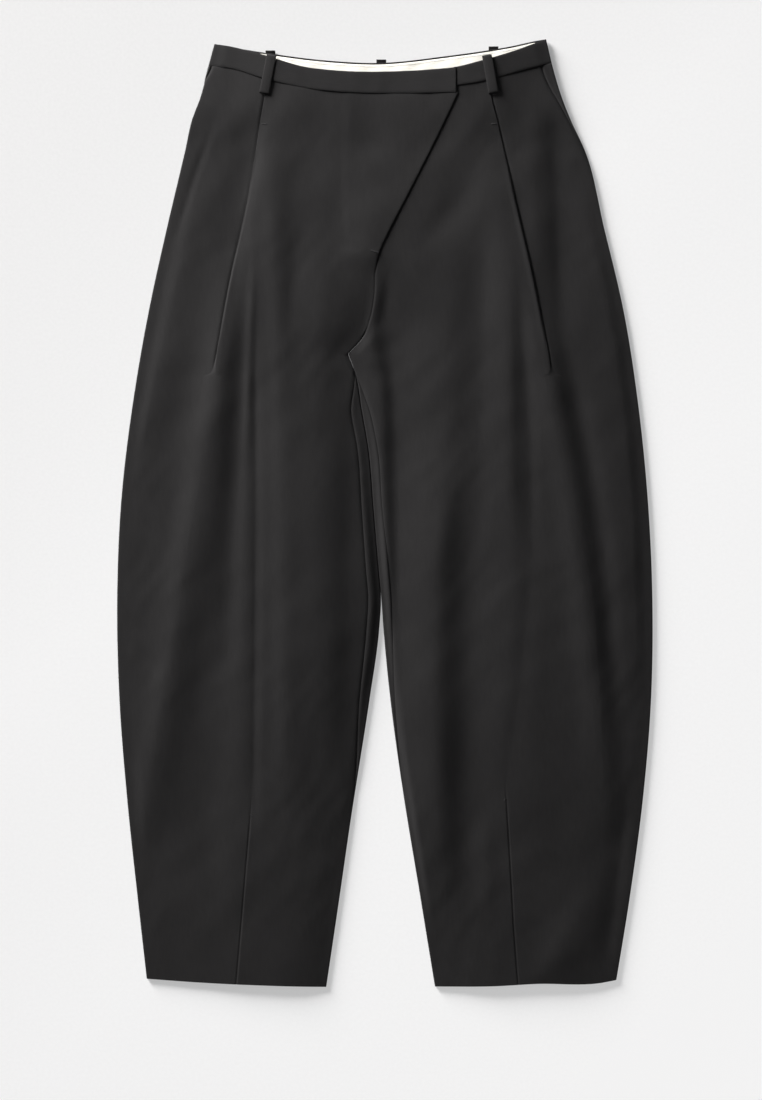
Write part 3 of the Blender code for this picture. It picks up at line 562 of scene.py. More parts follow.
def pleatProfile(level, y):  # an S of two arcs and a straight: distance inward, height and angle on each row
    rise = pleatStep * np.maximum(curve(pleatRise, 1, y), 0)
    marks = np.array(pleatAngle)[::-1]
    angle = np.radians(np.interp(level, marks[:, 0], marks[:, 1]))
    angle = np.where(level > pleatAngle[-1][0], angle, np.arcsin(np.maximum(rise, 0.02) / pleat["ramp"]))
    turned = (pleat["underTurn"] + pleat["overTurn"]) * (1 - np.cos(angle))
    sloping = np.maximum((rise - turned) / np.sin(np.minimum(angle, 3.0)), 0.3)
    straight = np.where(angle > 3.1, curve(pleatDepth, 1, y), sloping)
    up = angle * np.linspace(0, 1, 8)
    firstX, firstZ = pleat["underTurn"] * np.sin(up), pleat["underTurn"] * (1 - np.cos(up))
    share = np.linspace(0, 1, 6)[1:-1]
    midX = firstX[:, -1:] + straight * np.cos(angle) * share
    midZ = firstZ[:, -1:] + straight * np.sin(angle) * share
    nextX = firstX[:, -1:] + straight * np.cos(angle)
    nextZ = firstZ[:, -1:] + straight * np.sin(angle)
    down = angle * np.linspace(1, 0, 10)
    lastX = nextX + pleat["overTurn"] * (np.sin(angle) - np.sin(down))
    lastZ = nextZ + pleat["overTurn"] * (np.cos(down) - np.cos(angle))
    x = np.concatenate([firstX, midX, lastX], axis=1)
    z = np.concatenate([firstZ, midZ, lastZ], axis=1)
    folded = (1 - np.cos(angle)) / 2
    x = x - x[:, -1:] * (folded + (1 - folded) / 2)
    # The points spread out evenly as the fold opens into a ramp
    run = np.concatenate([0 * angle, np.cumsum(np.hypot(np.diff(x), np.diff(z)), axis=1)], axis=1)
    stations = folded * run + (1 - folded) * run[:, -1:] * np.linspace(0, 1, run.shape[1])
    x = np.array([np.interp(at, length, row) for at, length, row in zip(stations, run, x)])
    z = np.array([np.interp(at, length, row) for at, length, row in zip(stations, run, z)])
    return x, z, angle


def centreArc(endX, endZ, side, share, count):  # the turned-down edge at a centre seam
    radius = cloth["edgeRadius"] / share
    length = halfTurn / 2 - cloth["seamGap"] / 2
    along = np.linspace(0, 1, count) * length
    x = endX - side * radius * (np.sin(length / radius) - np.sin(along / radius))
    return x, endZ(x) * np.ones_like(x), radius * (1 - np.cos(along / radius))


# The darts from the hem: levels of Y where they start, and a groove with a step on its inner side
darts = {
    "right": (-300.0, -345.0),
    "left": (-285.0, -330.0),
    "depth": 0.5,
    "halfWidth": 0.8,
    "step": 0.2,
    "fade": 6.0,
}


def frontPanel(side):  # rows of (x, z) from the side seam inwards: edge, side panel, pleat, centre, seam
    level = panelLevels()
    warp = frontWarp(side)
    column = 1 if side > 0 else 2
    edgeX, edgeY = settle(level, warp, lambda y: curve(outline, column, y))
    foldX, foldY = settle(level, warp, lambda y: curve(pleatLines, 1 if side > 0 else 3, y))
    creaseX, _ = settle(level, warp, lambda y: curve(pleatLines, 2 if side > 0 else 4, y))

    def height(x):
        return frontHeight(x, level + warp(x, level), side)

    def lifted(x):
        return frontTop(x, level + warp(x, level), side)

    seam = sideSeam(edgeY, side)
    seam = seam + turningGap(seam)
    top = np.maximum(halfTurn, seam + 1.0)
    s = seam + (top - seam) * np.linspace(0, 1, 7)
    startIn, startZ = edgeArc(s, edgeY)
    startX = edgeX + side * startIn
    startZ = np.where(s > halfTurn, height(startX), startZ)

    across, above, angle = pleatProfile(level, foldY)
    pleatX = foldX + side * across
    along = np.linspace(0, 1, across.shape[1])
    pleatBase = (1 - along) * height(pleatX[:, :1]) + along * height(pleatX[:, -1:])
    pleatZ = above + np.where(angle < 0.7, height(pleatX), pleatBase)

    # The side panel's columns are closer together by the pleat
    toPleat = 1 - (1 - np.linspace(0, 1, 40)[1:-1]) ** 1.3
    underX = startX[:, -1:] + (pleatX[:, :1] - startX[:, -1:]) * toPleat
    underZ = height(underX)

    # Above the crotch the row ends at the centre front, and below it on the inner edge
    crotch = levelsOfY["crotch"]
    endX, endY = settle(level, warp, lambda y: curve(centreFront, column, y))
    endX = endX - side * cloth["seamGap"] / 2
    share = np.maximum(1 - smooth(crotch, levelsOfY["crotchOpen"], endY), 0.02)
    arcX, arcZ, drop = centreArc(endX, lifted, side, share, 6)
    legX, legY = settle(level, warp, lambda y: innerEdge(y, side))
    seam = inseam(legY, side)
    seam = seam + turningGap(seam)
    s = np.maximum(halfTurn, seam + 1.0)
    s = s + (seam - s) * np.linspace(0, 1, 6)
    inward, legZ = edgeArc(s, legY)
    legX = legX - side * inward
    legZ = np.where(s > halfTurn, height(legX), legZ)
    lastX = np.where(level > crotch, arcX, legX)
    lastZ = np.where(level > crotch, arcZ - drop, legZ)

    reach = lastX[:, :1] - pleatX[:, -1:]
    crease = np.clip((creaseX - pleatX[:, -1:]) / reach, pleat["creaseClear"] / np.abs(reach), 0.5)
    # The columns stand close together beside the fold and the crease
    beside = np.array([-2.4, -1.4, -0.7, 0.0, 0.7, 1.4, 2.4]) / np.abs(reach)
    edge = np.array([0.6, 1.3, 2.1, 3.0, 4.1, 5.6]) / np.abs(reach)
    near = edge[:, -1:] + (crease + beside[:, :1] - edge[:, -1:]) * np.linspace(0, 1, 12)[1:-1]
    near = np.concatenate([edge, near], axis=1)
    far = crease + beside[:, -1:] + (1 - crease - beside[:, -1:]) * np.linspace(0, 1, 44)[1:-1]
    overX = pleatX[:, -1:] + reach * np.concatenate([near, crease + beside, far], axis=1)
    overZ = lifted(overX)

    # The dart from the hem lies on the crease
    creaseAt = pleatX[:, -1:] + reach * crease
    pastDart = side * (overX - creaseAt)
    groove = darts["depth"] * np.exp(-((pastDart / darts["halfWidth"]) ** 2))
    step = darts["step"] * np.exp(-np.maximum(pastDart, 0) / darts["fade"]) * (pastDart > 0)
    overZ = overZ + smooth(*darts[sideName(side)], foldY) * (step - groove)

    x = np.concatenate([startX, underX, pleatX, overX, lastX], axis=1)
    z = np.concatenate([startZ, underZ, pleatZ, overZ, lastZ], axis=1)
    return bothFaces(x, z, level, warp, side, 1)


def backPanel(side):  # rows from the side seam beneath to the centre back or up to the inseam
    level = panelLevels()
    column = 1 if side > 0 else 2
    backWarp = panelWarp(backWaist)
    edgeX, edgeY = settle(level, backWarp, lambda y: curve(outline, column, y))
    _, frontY = settle(level, frontWarp(side), lambda y: curve(outline, column, y))

    def onTop(x):
        return frontHeight(x, level + backWarp(x, level), side)

    seam = sideSeam(frontY, side)
    s = split(seam - turningGap(seam), 6)[:, ::-1]
    inward, startZ = edgeArc(s, edgeY)
    startX = edgeX + side * inward
    step = pocket["step"] * smooth(*pocket["rise"], edgeY) if side < 0 else 0.0
    lower = step * smooth(halfTurn, halfTurn + pocket["soft"], s)
    startZ = np.where(s > halfTurn, onTop(startX) - lower, startZ)

    crotch = levelsOfY["crotch"]
    endX, endY = settle(level, backWarp, lambda y: curve(centreBack, 1, y))
    endX = endX - side * cloth["seamGap"] / 2
    share = np.maximum(1 - smooth(crotch, levelsOfY["crotchOpen"], endY), 0.02)
    radius = cloth["edgeRadius"] / share
    along = split(halfTurn / 2 - cloth["seamGap"] / 2 + np.zeros_like(level), 6)
    arcX = endX - side * radius * (np.sin(along[:, -1:] / radius) - np.sin(along / radius))
    arcZ = floorLevel(endY) + radius * (1 - np.cos(along / radius))
    legX, legY = settle(level, backWarp, lambda y: innerEdge(y, side))
    seam = inseam(legY, side)
    s = split(seam - turningGap(seam), 6)
    inward, legZ = edgeArc(s, legY)
    legX = legX - side * inward
    legZ = np.where(s > halfTurn, onTop(legX), legZ)
    lastX = np.where(level > crotch, arcX, legX)
    lastZ = np.where(level > crotch, arcZ, legZ)

    flatX = startX[:, -1:] + (lastX[:, :1] - startX[:, -1:]) * np.linspace(0, 1, 56)[1:-1]
    y = level + backWarp(flatX, level)
    edge = smooth(0, creaseEdge["back"], np.abs(flatX - startX[:, -1:]))
    edge = edge * smooth(0, creaseEdge["back"], np.abs(lastX[:, :1] - flatX))
    flatZ = floorLevel(y) + edge * np.maximum(creases(flatX, y, backCreases), 0)
    x = np.concatenate([startX, flatX, lastX], axis=1)
    z = np.concatenate([startZ, flatZ, lastZ], axis=1)
    return bothFaces(x, z, level, backWarp, side, -1)


def split(length, strips):  # lengths from 0: nine over the folded edge, then strips more
    bend = np.minimum(halfTurn, length * 0.75)
    rest = bend + (length - bend) * np.linspace(0, 1, strips + 1)[1:]
    return np.concatenate([bend * np.linspace(0, 1, 9), rest], axis=1)


def seamDips(x, z, level):  # each sewn edge turns down a little, by a bell of the length from that edge
    run = np.concatenate([np.zeros_like(level), np.cumsum(np.hypot(np.diff(x), np.diff(z)), axis=1)], axis=1)
    reach = cloth["seamDipReach"]
    atSide = np.interp(level, *np.array(sideDip).T) * np.exp(-((run / reach) ** 2))
    atInner = np.interp(level, *np.array(innerDip).T) * np.exp(-(((run[:, -1:] - run) / reach) ** 2))
    waist = np.exp(-(((levelsOfY["waistSeam"] - level) / (1.4 * reach)) ** 2))
    return cloth["seamDip"] * np.maximum(atSide + atInner, cloth["waistDip"] * waist)


def inSpace(face, y, side):  # from (distance along X times side, height) to (x, y, z)
    return np.stack([side * face[..., 0], y, face[..., 1]], axis=-1)


def bothFaces(x, z, level, warp, side, facing):  # the outer face, and the inner one a wall further in
    normal = pathNormals(side * x, z, facing)
    # The outer face keeps its place, and the wall is thinner than the part's, so it has room
    dip = seamDips(x, z, level)[..., None]
    face = np.stack([side * x, z], axis=-1) - dip * normal
    inside = face - cloth["wall"] * normal
    y = level + warp(x, level)
    return inSpace(face, y, side), inSpace(inside, y, side)


def clothShell(name, outerGrid, innerGrid):  # two grids of points joined by a rounded rim, as a closed mesh
    rows, columns = outerGrid.shape[:2]
    grid = np.arange(rows * columns).reshape(rows, columns)
    rim = np.concatenate([grid[0, :-1], grid[:-1, -1], grid[-1, :0:-1], grid[:0:-1, 0]])
    rowIn = np.clip(rim // columns, 1, rows - 2)
    columnIn = np.clip(rim % columns, 1, columns - 2)
    inIndex = rowIn * columns + columnIn
    a, b = outerGrid.reshape(-1, 3).copy(), innerGrid.reshape(-1, 3).copy()
    middle, half = (a[rim] + b[rim]) / 2, (a[rim] - b[rim]) / 2
    inward = (a[inIndex] + b[inIndex]) / 2 - middle
    distance = np.linalg.norm(inward, axis=1, keepdims=True)
    inward /= distance
    bevel = np.minimum(np.linalg.norm(half, axis=1, keepdims=True), 0.45 * distance)
    turns = np.radians([0, 30, 60, 90, 120, 150, 180])
    rings = [middle + half * np.cos(t) + inward * bevel * (1 - np.sin(t)) for t in turns]
    a[rim], b[rim] = rings[0], rings[-1]
    total = rows * columns
    between = [2 * total + k * len(rim) + np.arange(len(rim)) for k in range(len(turns) - 2)]
    ringIds = [rim, *between, rim + total]
    quad = np.stack([grid[:-1, :-1], grid[:-1, 1:], grid[1:, 1:], grid[1:, :-1]], axis=-1).reshape(-1, 4)
    pairs = zip(ringIds[:-1], ringIds[1:])
    walls = [np.stack([p, q, np.roll(q, -1), np.roll(p, -1)], axis=1) for p, q in pairs]
    faces = np.concatenate([quad, quad[:, ::-1] + total, *walls])
    points = np.concatenate([a, b, *rings[1:-1]])
    return meshPiece(name, points, faces)


def meshPiece(name, points, faces):  # from points in the tables' millimetres
    # The sign of the volume says whether the faces are turned outwards
    corner = points[faces]
    signed = np.einsum("ij,ij->i", corner[:, 0], np.cross(corner[:, 1], corner[:, 2])).sum()
    signed += np.einsum("ij,ij->i", corner[:, 0], np.cross(corner[:, 2], corner[:, 3])).sum()
    if signed < 0:
        faces = faces[:, ::-1]
    mesh = bpy.data.meshes.new(name)
    mesh.from_pydata(((points + shift) * millimetre).tolist(), [], faces.tolist())
    mesh.polygons.foreach_set("use_smooth", np.ones(len(mesh.polygons), bool))
    mesh.update()
    piece = bpy.data.objects.new(name, mesh)
    bpy.context.scene.collection.objects.link(piece)
    return piece


def finishPiece(piece, material, slotName, *nodes):
    piece.data.materials.append(material)
    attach(piece, "root")
    if nodes:
        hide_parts(*nodes)
    return piece


band = {
    "right": 77.0,
    "left": 54.0,
    "rise": 1.2,
    "overPleat": 1.6,
    "edge": 16.0,
    "height": 25.0,
    "turn": 0.35,
    "turnReach": 1.2,
    "wall": 1.15,
    "pucker": 0.12,
}
# Where the band lies over the pleats. Columns: x, half width
bandOverPleats = ((-122.0, 28.0), (98.0, 34.0))


def bandHeight(x, y, side):  # the front band's outer face
    radius = cloth["edgeRadius"]
    right = curve(outline, 1, y) + radius
    left = curve(outline, 2, y) - radius
    edge = smooth(0, band["edge"], x - right) * smooth(0, band["edge"], left - x)
    over = sum(np.exp(-(((x - middle) / width) ** 2)) for middle, width in bandOverPleats)
    z = floorLevel(y) + 2 * radius + curve(puff, 1, y) * dome(x, right, left) * sideShare(x)
    z = z + edge * (band["rise"] + band["overPleat"] * over)
    return z + flapLift(x, y) if side > 0 else z


def puckers(x, y, share):  # short soft waves that fade out at the band's two long edges
    wave = np.sin(x / 5.3 + 1.4 * np.sin(x / 17.0)) * np.sin(x / 31.0 + y / 40.0)
    return band["pucker"] * wave * np.sin(np.pi * np.clip(share, 0, 1)) ** 0.5


def bandEdge(column, yAt, share):  # the side edge's x on each strip
    x = outline[0][column] + 0 * share
    for _ in range(6):
        x = curve(outline, column, yAt(x))
    return x


def frontBand(side):  # strips from the top edge to the seam; both long edges turn down
    table = frontRightWaist if side > 0 else frontLeftWaist
    endX = band[sideName(side)]
    share = np.concatenate([[0, 0.025, 0.06], np.linspace(0.1, 0.9, 12), [0.94, 0.975, 1]])[:, None]

    def yAt(x):
        return (1 - share) * curve(table, 1, x) + share * curve(table, 2, x)

    edgeX = bandEdge(1 if side > 0 else 2, yAt, share)
    s = np.linspace(halfTurn / 2 + cloth["seamGap"] / 2, halfTurn, 7) + np.zeros_like(share)
    inward, startZ = edgeArc(s, yAt(edgeX))
    startX = edgeX + side * inward
    restX = startX[:, -1:] + (endX - startX[:, -1:]) * np.linspace(0, 1, 110)[1:]
    x = np.concatenate([startX, restX], axis=1)
    z = np.concatenate([startZ, bandHeight(restX, yAt(restX), side)], axis=1)
    down = share * band["height"]
    for toEdge in (down, band["height"] - down):
        z = z - band["turn"] * np.exp(-((toEdge / band["turnReach"]) ** 2))
    z = z + puckers(x, yAt(x), share)
    normal = pathNormals(side * x, z, 1)
    face = np.stack([side * x, z], axis=-1)
    return inSpace(face, yAt(x), side), inSpace(face - band["wall"] * normal, yAt(x), side)


def backBand():  # one strip from side seam to side seam, flat on the loops, with both ends turned up
    share = np.concatenate([[0, 0.03, 0.07], np.linspace(0.12, 0.92, 8), [0.97, 1]])[:, None]

    def yAt(x):
        return (1 - share) * curve(backWaist, 1, x) + share * curve(backWaist, 2, x)

    s = np.linspace(halfTurn / 2 - cloth["seamGap"] / 2, 0, 7) + np.zeros_like(share)
    ends = []
    for column, inwards in ((1, 1), (2, -1)):
        edgeX = bandEdge(column, yAt, share)
        inward, z = edgeArc(s, yAt(edgeX))
        ends.append((edgeX + inwards * inward, z))
    (first, firstZ), (last, lastZ) = ends
    midX = first[:, -1:] + (last[:, -1:] - first[:, -1:]) * np.linspace(0, 1, 120)[1:-1]
    x = np.concatenate([first, midX, last[:, ::-1]], axis=1)
    z = np.concatenate([firstZ, floorLevel(yAt(midX)), lastZ[:, ::-1]], axis=1)
    face = np.stack([x, z], axis=-1)
    inside = face - band["wall"] * pathNormals(x, z, -1)
    return inSpace(face, yAt(x), 1), inSpace(inside, yAt(x), 1)


facing = {"wall": 0.8, "ends": (-172.0, 163.0), "top": 2.2, "foot": 26.0, "clear": 0.45, "wave": 0.16}


def facingLevel(x, down):  # the facing's lower face, over the back band
    slow = np.sin(x / 9.0 + np.sin(x / 23.0)) * smooth(0, 8, down - facing["top"])
    quick = 0.6 * np.sin(x / 4.1 + down / 3)
    return backLoopHollow + cloth["cadWall"] + facing["clear"] + facing["wave"] * (1 + slow + quick)


def backFacing():  # a strip on the back band's inner face, with soft waves
    x = np.linspace(*facing["ends"], 160)[None, :]
    top = facing["top"]
    down = np.concatenate([[top, top + 0.7], np.linspace(top + 2.0, facing["foot"], 12)])[:, None]
    y = curve(backWaist, 1, x) - down
    low = np.stack([x + 0 * y, y, facingLevel(x, down)], axis=-1)
    return low + np.array([0, 0, facing["wall"]]), low


loop = {
    "width": 10.6,
    "wall": 1.25,
    "thinning": 0.35,
    "rib": 0.07,
    "clearance": 3.75,
    "arch": 0.4,
    "turn": 1.7,
    "onBand": (466.0, 490.0),
    "backLength": 37.0,
    "floorGap": 0.05,
    "curl": 1.3,
    "curlReach": 2.2,
}
upwards = np.array([0.0, 0.0, 1.0])


def stripLoop(name, path, across):  # a flat profile with thinner edges, carried along a path
    share = np.linspace(-1, 1, 15)
    crown = 1 - loop["thinning"] * np.abs(share) ** 4
    half = loop["width"] / 2
    along = np.gradient(path, axis=0)
    along /= np.linalg.norm(along, axis=1, keepdims=True)
    side = np.broadcast_to(across, path.shape)
    up = np.cross(along, side)
    up /= np.linalg.norm(up, axis=1, keepdims=True)
    up = up * np.sign(up[len(up) // 2, 2])
    base = path[:, None, :] + side[:, None, :] * (share * half)[None, :, None]
    ribs = loop["rib"] * np.cos(share * np.pi)
    thick = loop["wall"] / 2 * crown
    top = base + up[:, None, :] * (thick + ribs)[None, :, None]
    low = base - up[:, None, :] * thick[None, :, None]
    return clothShell(name, top, low)


def frontLoop(name, topX, topY, footX, footY, side):  # turned down at the band's top and at the foot
    share = np.linspace(0, 1, 40)
    x = topX + (footX - topX) * share
    y = topY + (footY - topY) * share
    onBand = np.clip(y, *loop["onBand"])
    under = frontHeight(x, onBand, side) - tuckRise(x, onBand, side)
    z = under + loop["clearance"] + loop["arch"] * np.sin(np.pi * share)
    path = np.stack([x, y, z], axis=1)
    along = np.array([footX - topX, footY - topY, 0.0])
    length = np.linalg.norm(along)
    along /= length
    turn = np.radians(np.linspace(90, 0, 9)[:-1])
    r = loop["turn"]
    outward = along * (r * np.sin(turn))[:, None]
    lower = upwards * (r * (1 - np.cos(turn)))[:, None]
    head = path[0] + along * r - outward - lower
    drop = head[0] - upwards * np.array([2.4, 1.6, 0.8])[:, None]
    tail = path[-1] - along * r + outward[::-1] - lower[::-1]
    inside = (share * length > r) & ((1 - share) * length > r)
    whole = np.concatenate([drop, head, path[inside], tail])
    across = np.array([along[1], -along[0], 0.0])
    return stripLoop(name, whole, across)


def backLoop(name, x, topY):  # flat under the back band, with its head curled up by the band's edge
    down = loop["backLength"] * np.linspace(0, 1, 24)
    y = topY - down
    z = loop["wall"] / 2 + loop["floorGap"] + loop["curl"] * np.exp(-((down / loop["curlReach"]) ** 2))
    path = np.stack([np.full_like(y, x), y, z], axis=1)
    return stripLoop(name, path, np.array([1.0, 0.0, 0.0]))


sewing = {
    "radius": 0.22,
    "arch": 0.22,
    "sunk": 0.12,
    "tackLength": 1.7,
    "uneven": 0.14,
    "sway": 0.1,
    "facingEnds": (-158.0, 150.0),
    "facingStep": 3.1,
    "facingLength": 2.2,
    "facingDown": 2.0,
}
# Bar tacks. Columns: piece, side, x, y of one end, x, y of the other, number of threads
tacks = (
    ("flapTack", 1, -15.2, 284.6, -7.2, 282.6, 14),
    ("rightPleatTack", 1, -133.6, 422.4, -128.2, 422.0, 9),
    ("leftPleatTack", -1, 120.6, 422.2, 115.4, 421.8, 9),
    ("rightDartTack", 1, -145.6, -326.5, -144.2, -328.6, 5),
    ("leftDartTack", -1, 130.6, -309.4, 129.4, -311.8, 5),
)


def threads(name, starts, ends):  # short threads that rise in the middle and sink into the cloth at both ends
    at = np.linspace(0, 1, 5)
    along = ends - starts
    path = starts[:, None] + along[:, None] * at[None, :, None]
    path[..., 2] += sewing["arch"] * 4 * at * (1 - at) - sewing["sunk"]
    across = np.stack([-along[:, 1], along[:, 0], 0 * along[:, 0]], axis=1)
    across /= np.linalg.norm(across, axis=1, keepdims=True)
    turn = np.radians(np.arange(6) * 60.0)[None, :, None]
    ring = across[:, None, :] * np.cos(turn) + upwards * np.sin(turn)
    points = path[:, :, None, :] + sewing["radius"] * ring[:, None]
    # A thread has five rings of six points, and two faces close each end
    start = (np.arange(len(starts)) * 30)[:, None]
    first = start[:, None] + (np.arange(4) * 6)[None, :, None] + np.arange(6)
    after = first - np.arange(6) + (np.arange(6) + 1) % 6
    sides = np.stack([first, after, after + 6, first + 6], axis=-1).reshape(-1, 4)
    orders = ((3, 2, 1, 0), (5, 4, 3, 0), (24, 25, 26, 27), (24, 27, 28, 29))
    caps = [start + np.array(order) for order in orders]
    return meshPiece(name, points.reshape(-1, 3), np.concatenate([sides, *caps]))


def barTack(name, side, x, y, endX, endY, count):  # uneven threads side by side, across the bar's length
    share = np.linspace(0, 1, count)
    middle = np.stack([x + (endX - x) * share, y + (endY - y) * share], axis=1)
    across = np.array([-(endY - y), endX - x])
    across /= np.linalg.norm(across)
    half = (sewing["tackLength"] / 2 + sewing["uneven"] * np.sin(share * 37.0))[:, None] * across
    sway = sewing["sway"] * np.sin(share * 23.0 + 1.0)[:, None] * across
    ends = []
    for at in (middle - half + sway, middle + half + sway):
        z = frontTop(*at.T, side)
        ends.append(np.concatenate([at, z[:, None]], axis=1))
    return threads(name, *ends)


def facingStitches():  # a row just below the facing's top edge
    x = np.arange(*sewing["facingEnds"], sewing["facingStep"])
    down = sewing["facingDown"] + facing["top"] + 0.15 * np.sin(x / 3.7)
    ends = []
    for at in (x, x + sewing["facingLength"]):
        z = facingLevel(at, down) + facing["wall"]
        ends.append(np.stack([at, curve(backWaist, 1, at) - down, z], axis=1))
    return threads("facingStitches", *ends)


# The finishes
def newGroup(name, inputs, outputs):
    group = bpy.data.node_groups.new(name, "ShaderNodeTree")
    for label, kind, value in inputs:
        made = group.interface.new_socket(name=label, in_out="INPUT", socket_type=kind)
        if value is not None:
            made.default_value = value
    for label, kind in outputs:
        group.interface.new_socket(name=label, in_out="OUTPUT", socket_type=kind)
    return group, group.nodes.new("NodeGroupInput"), group.nodes.new("NodeGroupOutput")


def mathNode(tree, operation, first, second=None, clamp=False):
    node = tree.nodes.new("ShaderNodeMath")
    node.operation = operation
    node.use_clamp = clamp
    for socket, value in zip(node.inputs, (first, second)):
        if value is None:
            continue
        if isinstance(value, (int, float)):
            socket.default_value = value
        else:
            tree.links.new(value, socket)
    return node.outputs[0]


def newNode(tree, kind, vector, values):  # a texture or mapping node that reads a vector
    node = tree.nodes.new("ShaderNode" + kind)
    tree.links.new(vector, node.inputs["Vector"])
    for label, value in values.items():
        node.inputs[label].default_value = value
    return node


waveLength = 0.314  # of a wave texture, in its own units at a scale of 1


def twillGroup():  # slanting ribs crossed by finer threads, with uneven yarn and loose fibre
    tree, given, result = newGroup(
        "twillWeave",
        [
            ("Vector", "NodeSocketVector", None),
            ("Ribs per metre", "NodeSocketFloat", 900.0),
            ("Unevenness", "NodeSocketFloat", 0.5),
        ],
        [("Height", "NodeSocketFloat"), ("Tone", "NodeSocketFloat"), ("Fibre", "NodeSocketFloat")],
    )
    place, perMetre = given.outputs["Vector"], given.outputs["Ribs per metre"]
    turn = newNode(tree, "Mapping", place, {"Rotation": (0, 0, math.radians(-27))})
    ribs = newNode(tree, "TexWave", turn.outputs[0], {"Distortion": 0.8, "Detail": 2.0, "Detail Scale": 3.0})
    ribs.wave_type, ribs.bands_direction, ribs.wave_profile = "BANDS", "X", "SIN"
    tree.links.new(mathNode(tree, "MULTIPLY", perMetre, waveLength), ribs.inputs["Scale"])
    # The crossing threads are nearly twice as fine as the ribs
    threads = newNode(tree, "TexWave", place, {"Distortion": 0.6})
    threads.wave_type, threads.bands_direction, threads.wave_profile = "BANDS", "Y", "SIN"
    tree.links.new(mathNode(tree, "MULTIPLY", perMetre, 0.6), threads.inputs["Scale"])
    stretch = newNode(tree, "Mapping", place, {"Scale": (1.0, 0.18, 1.0)})
    yarn = newNode(tree, "TexNoise", stretch.outputs[0], {"Scale": 420.0, "Detail": 3.0})
    fibre = newNode(tree, "TexNoise", place, {"Scale": 2600.0, "Detail": 2.0})
    broad = newNode(tree, "TexNoise", place, {"Scale": 14.0, "Detail": 3.0})
    crossing = mathNode(tree, "MULTIPLY", threads.outputs["Fac"], 0.35)
    woven = mathNode(tree, "ADD", ribs.outputs["Fac"], crossing)
    uneven = mathNode(tree, "MULTIPLY", yarn.outputs["Fac"], given.outputs["Unevenness"])
    tree.links.new(mathNode(tree, "ADD", woven, uneven), result.inputs["Height"])
    tone = mathNode(tree, "ADD", mathNode(tree, "MULTIPLY", yarn.outputs["Fac"], 0.5),
                    mathNode(tree, "MULTIPLY", broad.outputs["Fac"], 0.5))
    tree.links.new(tone, result.inputs["Tone"])
    tree.links.new(fibre.outputs["Fac"], result.inputs["Fibre"])
    return tree


def ramp(tree, value, stops):
    node = tree.nodes.new("ShaderNodeValToRGB")
    node.color_ramp.elements[0].position, node.color_ramp.elements[0].color = stops[0][0], (*stops[0][1], 1)
    node.color_ramp.elements[1].position, node.color_ramp.elements[1].color = stops[-1][0], (*stops[-1][1], 1)
    for position, colour in stops[1:-1]:
        node.color_ramp.elements.new(position).color = (*colour, 1)
    tree.links.new(value, node.inputs[0])
    return node.outputs[0]


weaveDepth = 0.00012
roughSpread = 0.12


def clothMaterial(name, weave, settings):  # weave bump, yarn tone and a matt sheen
    material = bpy.data.materials.new(name)
    material.use_nodes = True
    tree = material.node_tree
    shader = tree.nodes["Principled BSDF"]
    place = tree.nodes.new("ShaderNodeTexCoord")
    turned = {"Rotation": (0, 0, math.radians(settings["grain"]))}
    turn = newNode(tree, "Mapping", place.outputs["Object"], turned)
    woven = tree.nodes.new("ShaderNodeGroup")
    woven.node_tree = weave
    woven.inputs["Ribs per metre"].default_value = settings["ribs"]
    woven.inputs["Unevenness"].default_value = settings["unevenness"]
    tree.links.new(turn.outputs[0], woven.inputs["Vector"])
    dark, light = np.array(settings["dark"]), np.array(settings["light"])
    tone = ramp(tree, woven.outputs["Tone"], [(0.3, dark), (0.5, (dark + light) / 2), (0.7, light)])
    tree.links.new(tone, shader.inputs["Base Color"])
    spread = mathNode(tree, "MULTIPLY", woven.outputs["Fibre"], roughSpread)
    rough = mathNode(tree, "ADD", settings["roughness"] - roughSpread / 2, spread, clamp=True)
    tree.links.new(rough, shader.inputs["Roughness"])
    shader.inputs["Sheen Weight"].default_value = settings["sheen"]
    shader.inputs["Sheen Roughness"].default_value = settings["sheenRoughness"]
    shader.inputs["Sheen Tint"].default_value = (*settings["sheenTint"], 1)
    shader.inputs["Specular IOR Level"].default_value = settings["specular"]
    bump = tree.nodes.new("ShaderNodeBump")
    bump.inputs["Strength"].default_value = settings["bump"]
    bump.inputs["Distance"].default_value = weaveDepth
    loose = mathNode(tree, "MULTIPLY", woven.outputs["Fibre"], 0.6)
    height = mathNode(tree, "ADD", woven.outputs["Height"], loose)
    tree.links.new(height, bump.inputs["Height"])
    tree.links.new(bump.outputs[0], shader.inputs["Normal"])
    return material


woolSettings = {
    "grain": 0.0,
    "ribs": 1300.0,
    "unevenness": 0.7,
    "dark": (0.0085, 0.0079, 0.0081),
    "light": (0.0135, 0.0127, 0.013),
    "roughness": 0.82,
    "sheen": 0.06,
    "sheenRoughness": 0.45,
    "sheenTint": (0.95, 0.95, 1.0),
    "specular": 0.22,
    "bump": 0.5,
}
# The band's wool is the panels' wool with a darker base colour, painted shade for the darker look the band
# has in the light
bandPaintedShadeSettings = {
    **woolSettings,
    "grain": 90.0,
    "dark": (0.0075, 0.007, 0.0072),
    "light": (0.0118, 0.0111, 0.0114),
}
loopSettings = {**woolSettings, "grain": 8.0, "light": (0.013, 0.0122, 0.0125)}
threadSettings = {
    **woolSettings,
    "ribs": 3000.0,
    "dark": (0.013, 0.0125, 0.013),
    "light": (0.021, 0.0202, 0.0208),
    "specular": 0.35,
    "bump": 0.2,
}
facingSettings = {
    "grain": 90.0,
    "ribs": 1700.0,
    "unevenness": 0.5,
    "dark": (0.80, 0.775, 0.70),
    "light": (0.90, 0.875, 0.81),
    "roughness": 0.7,
    "sheen": 0.05,
    "sheenRoughness": 0.5,
    "sheenTint": (1.0, 1.0, 1.0),
    "specular": 0.35,
    "bump": 0.35,
}


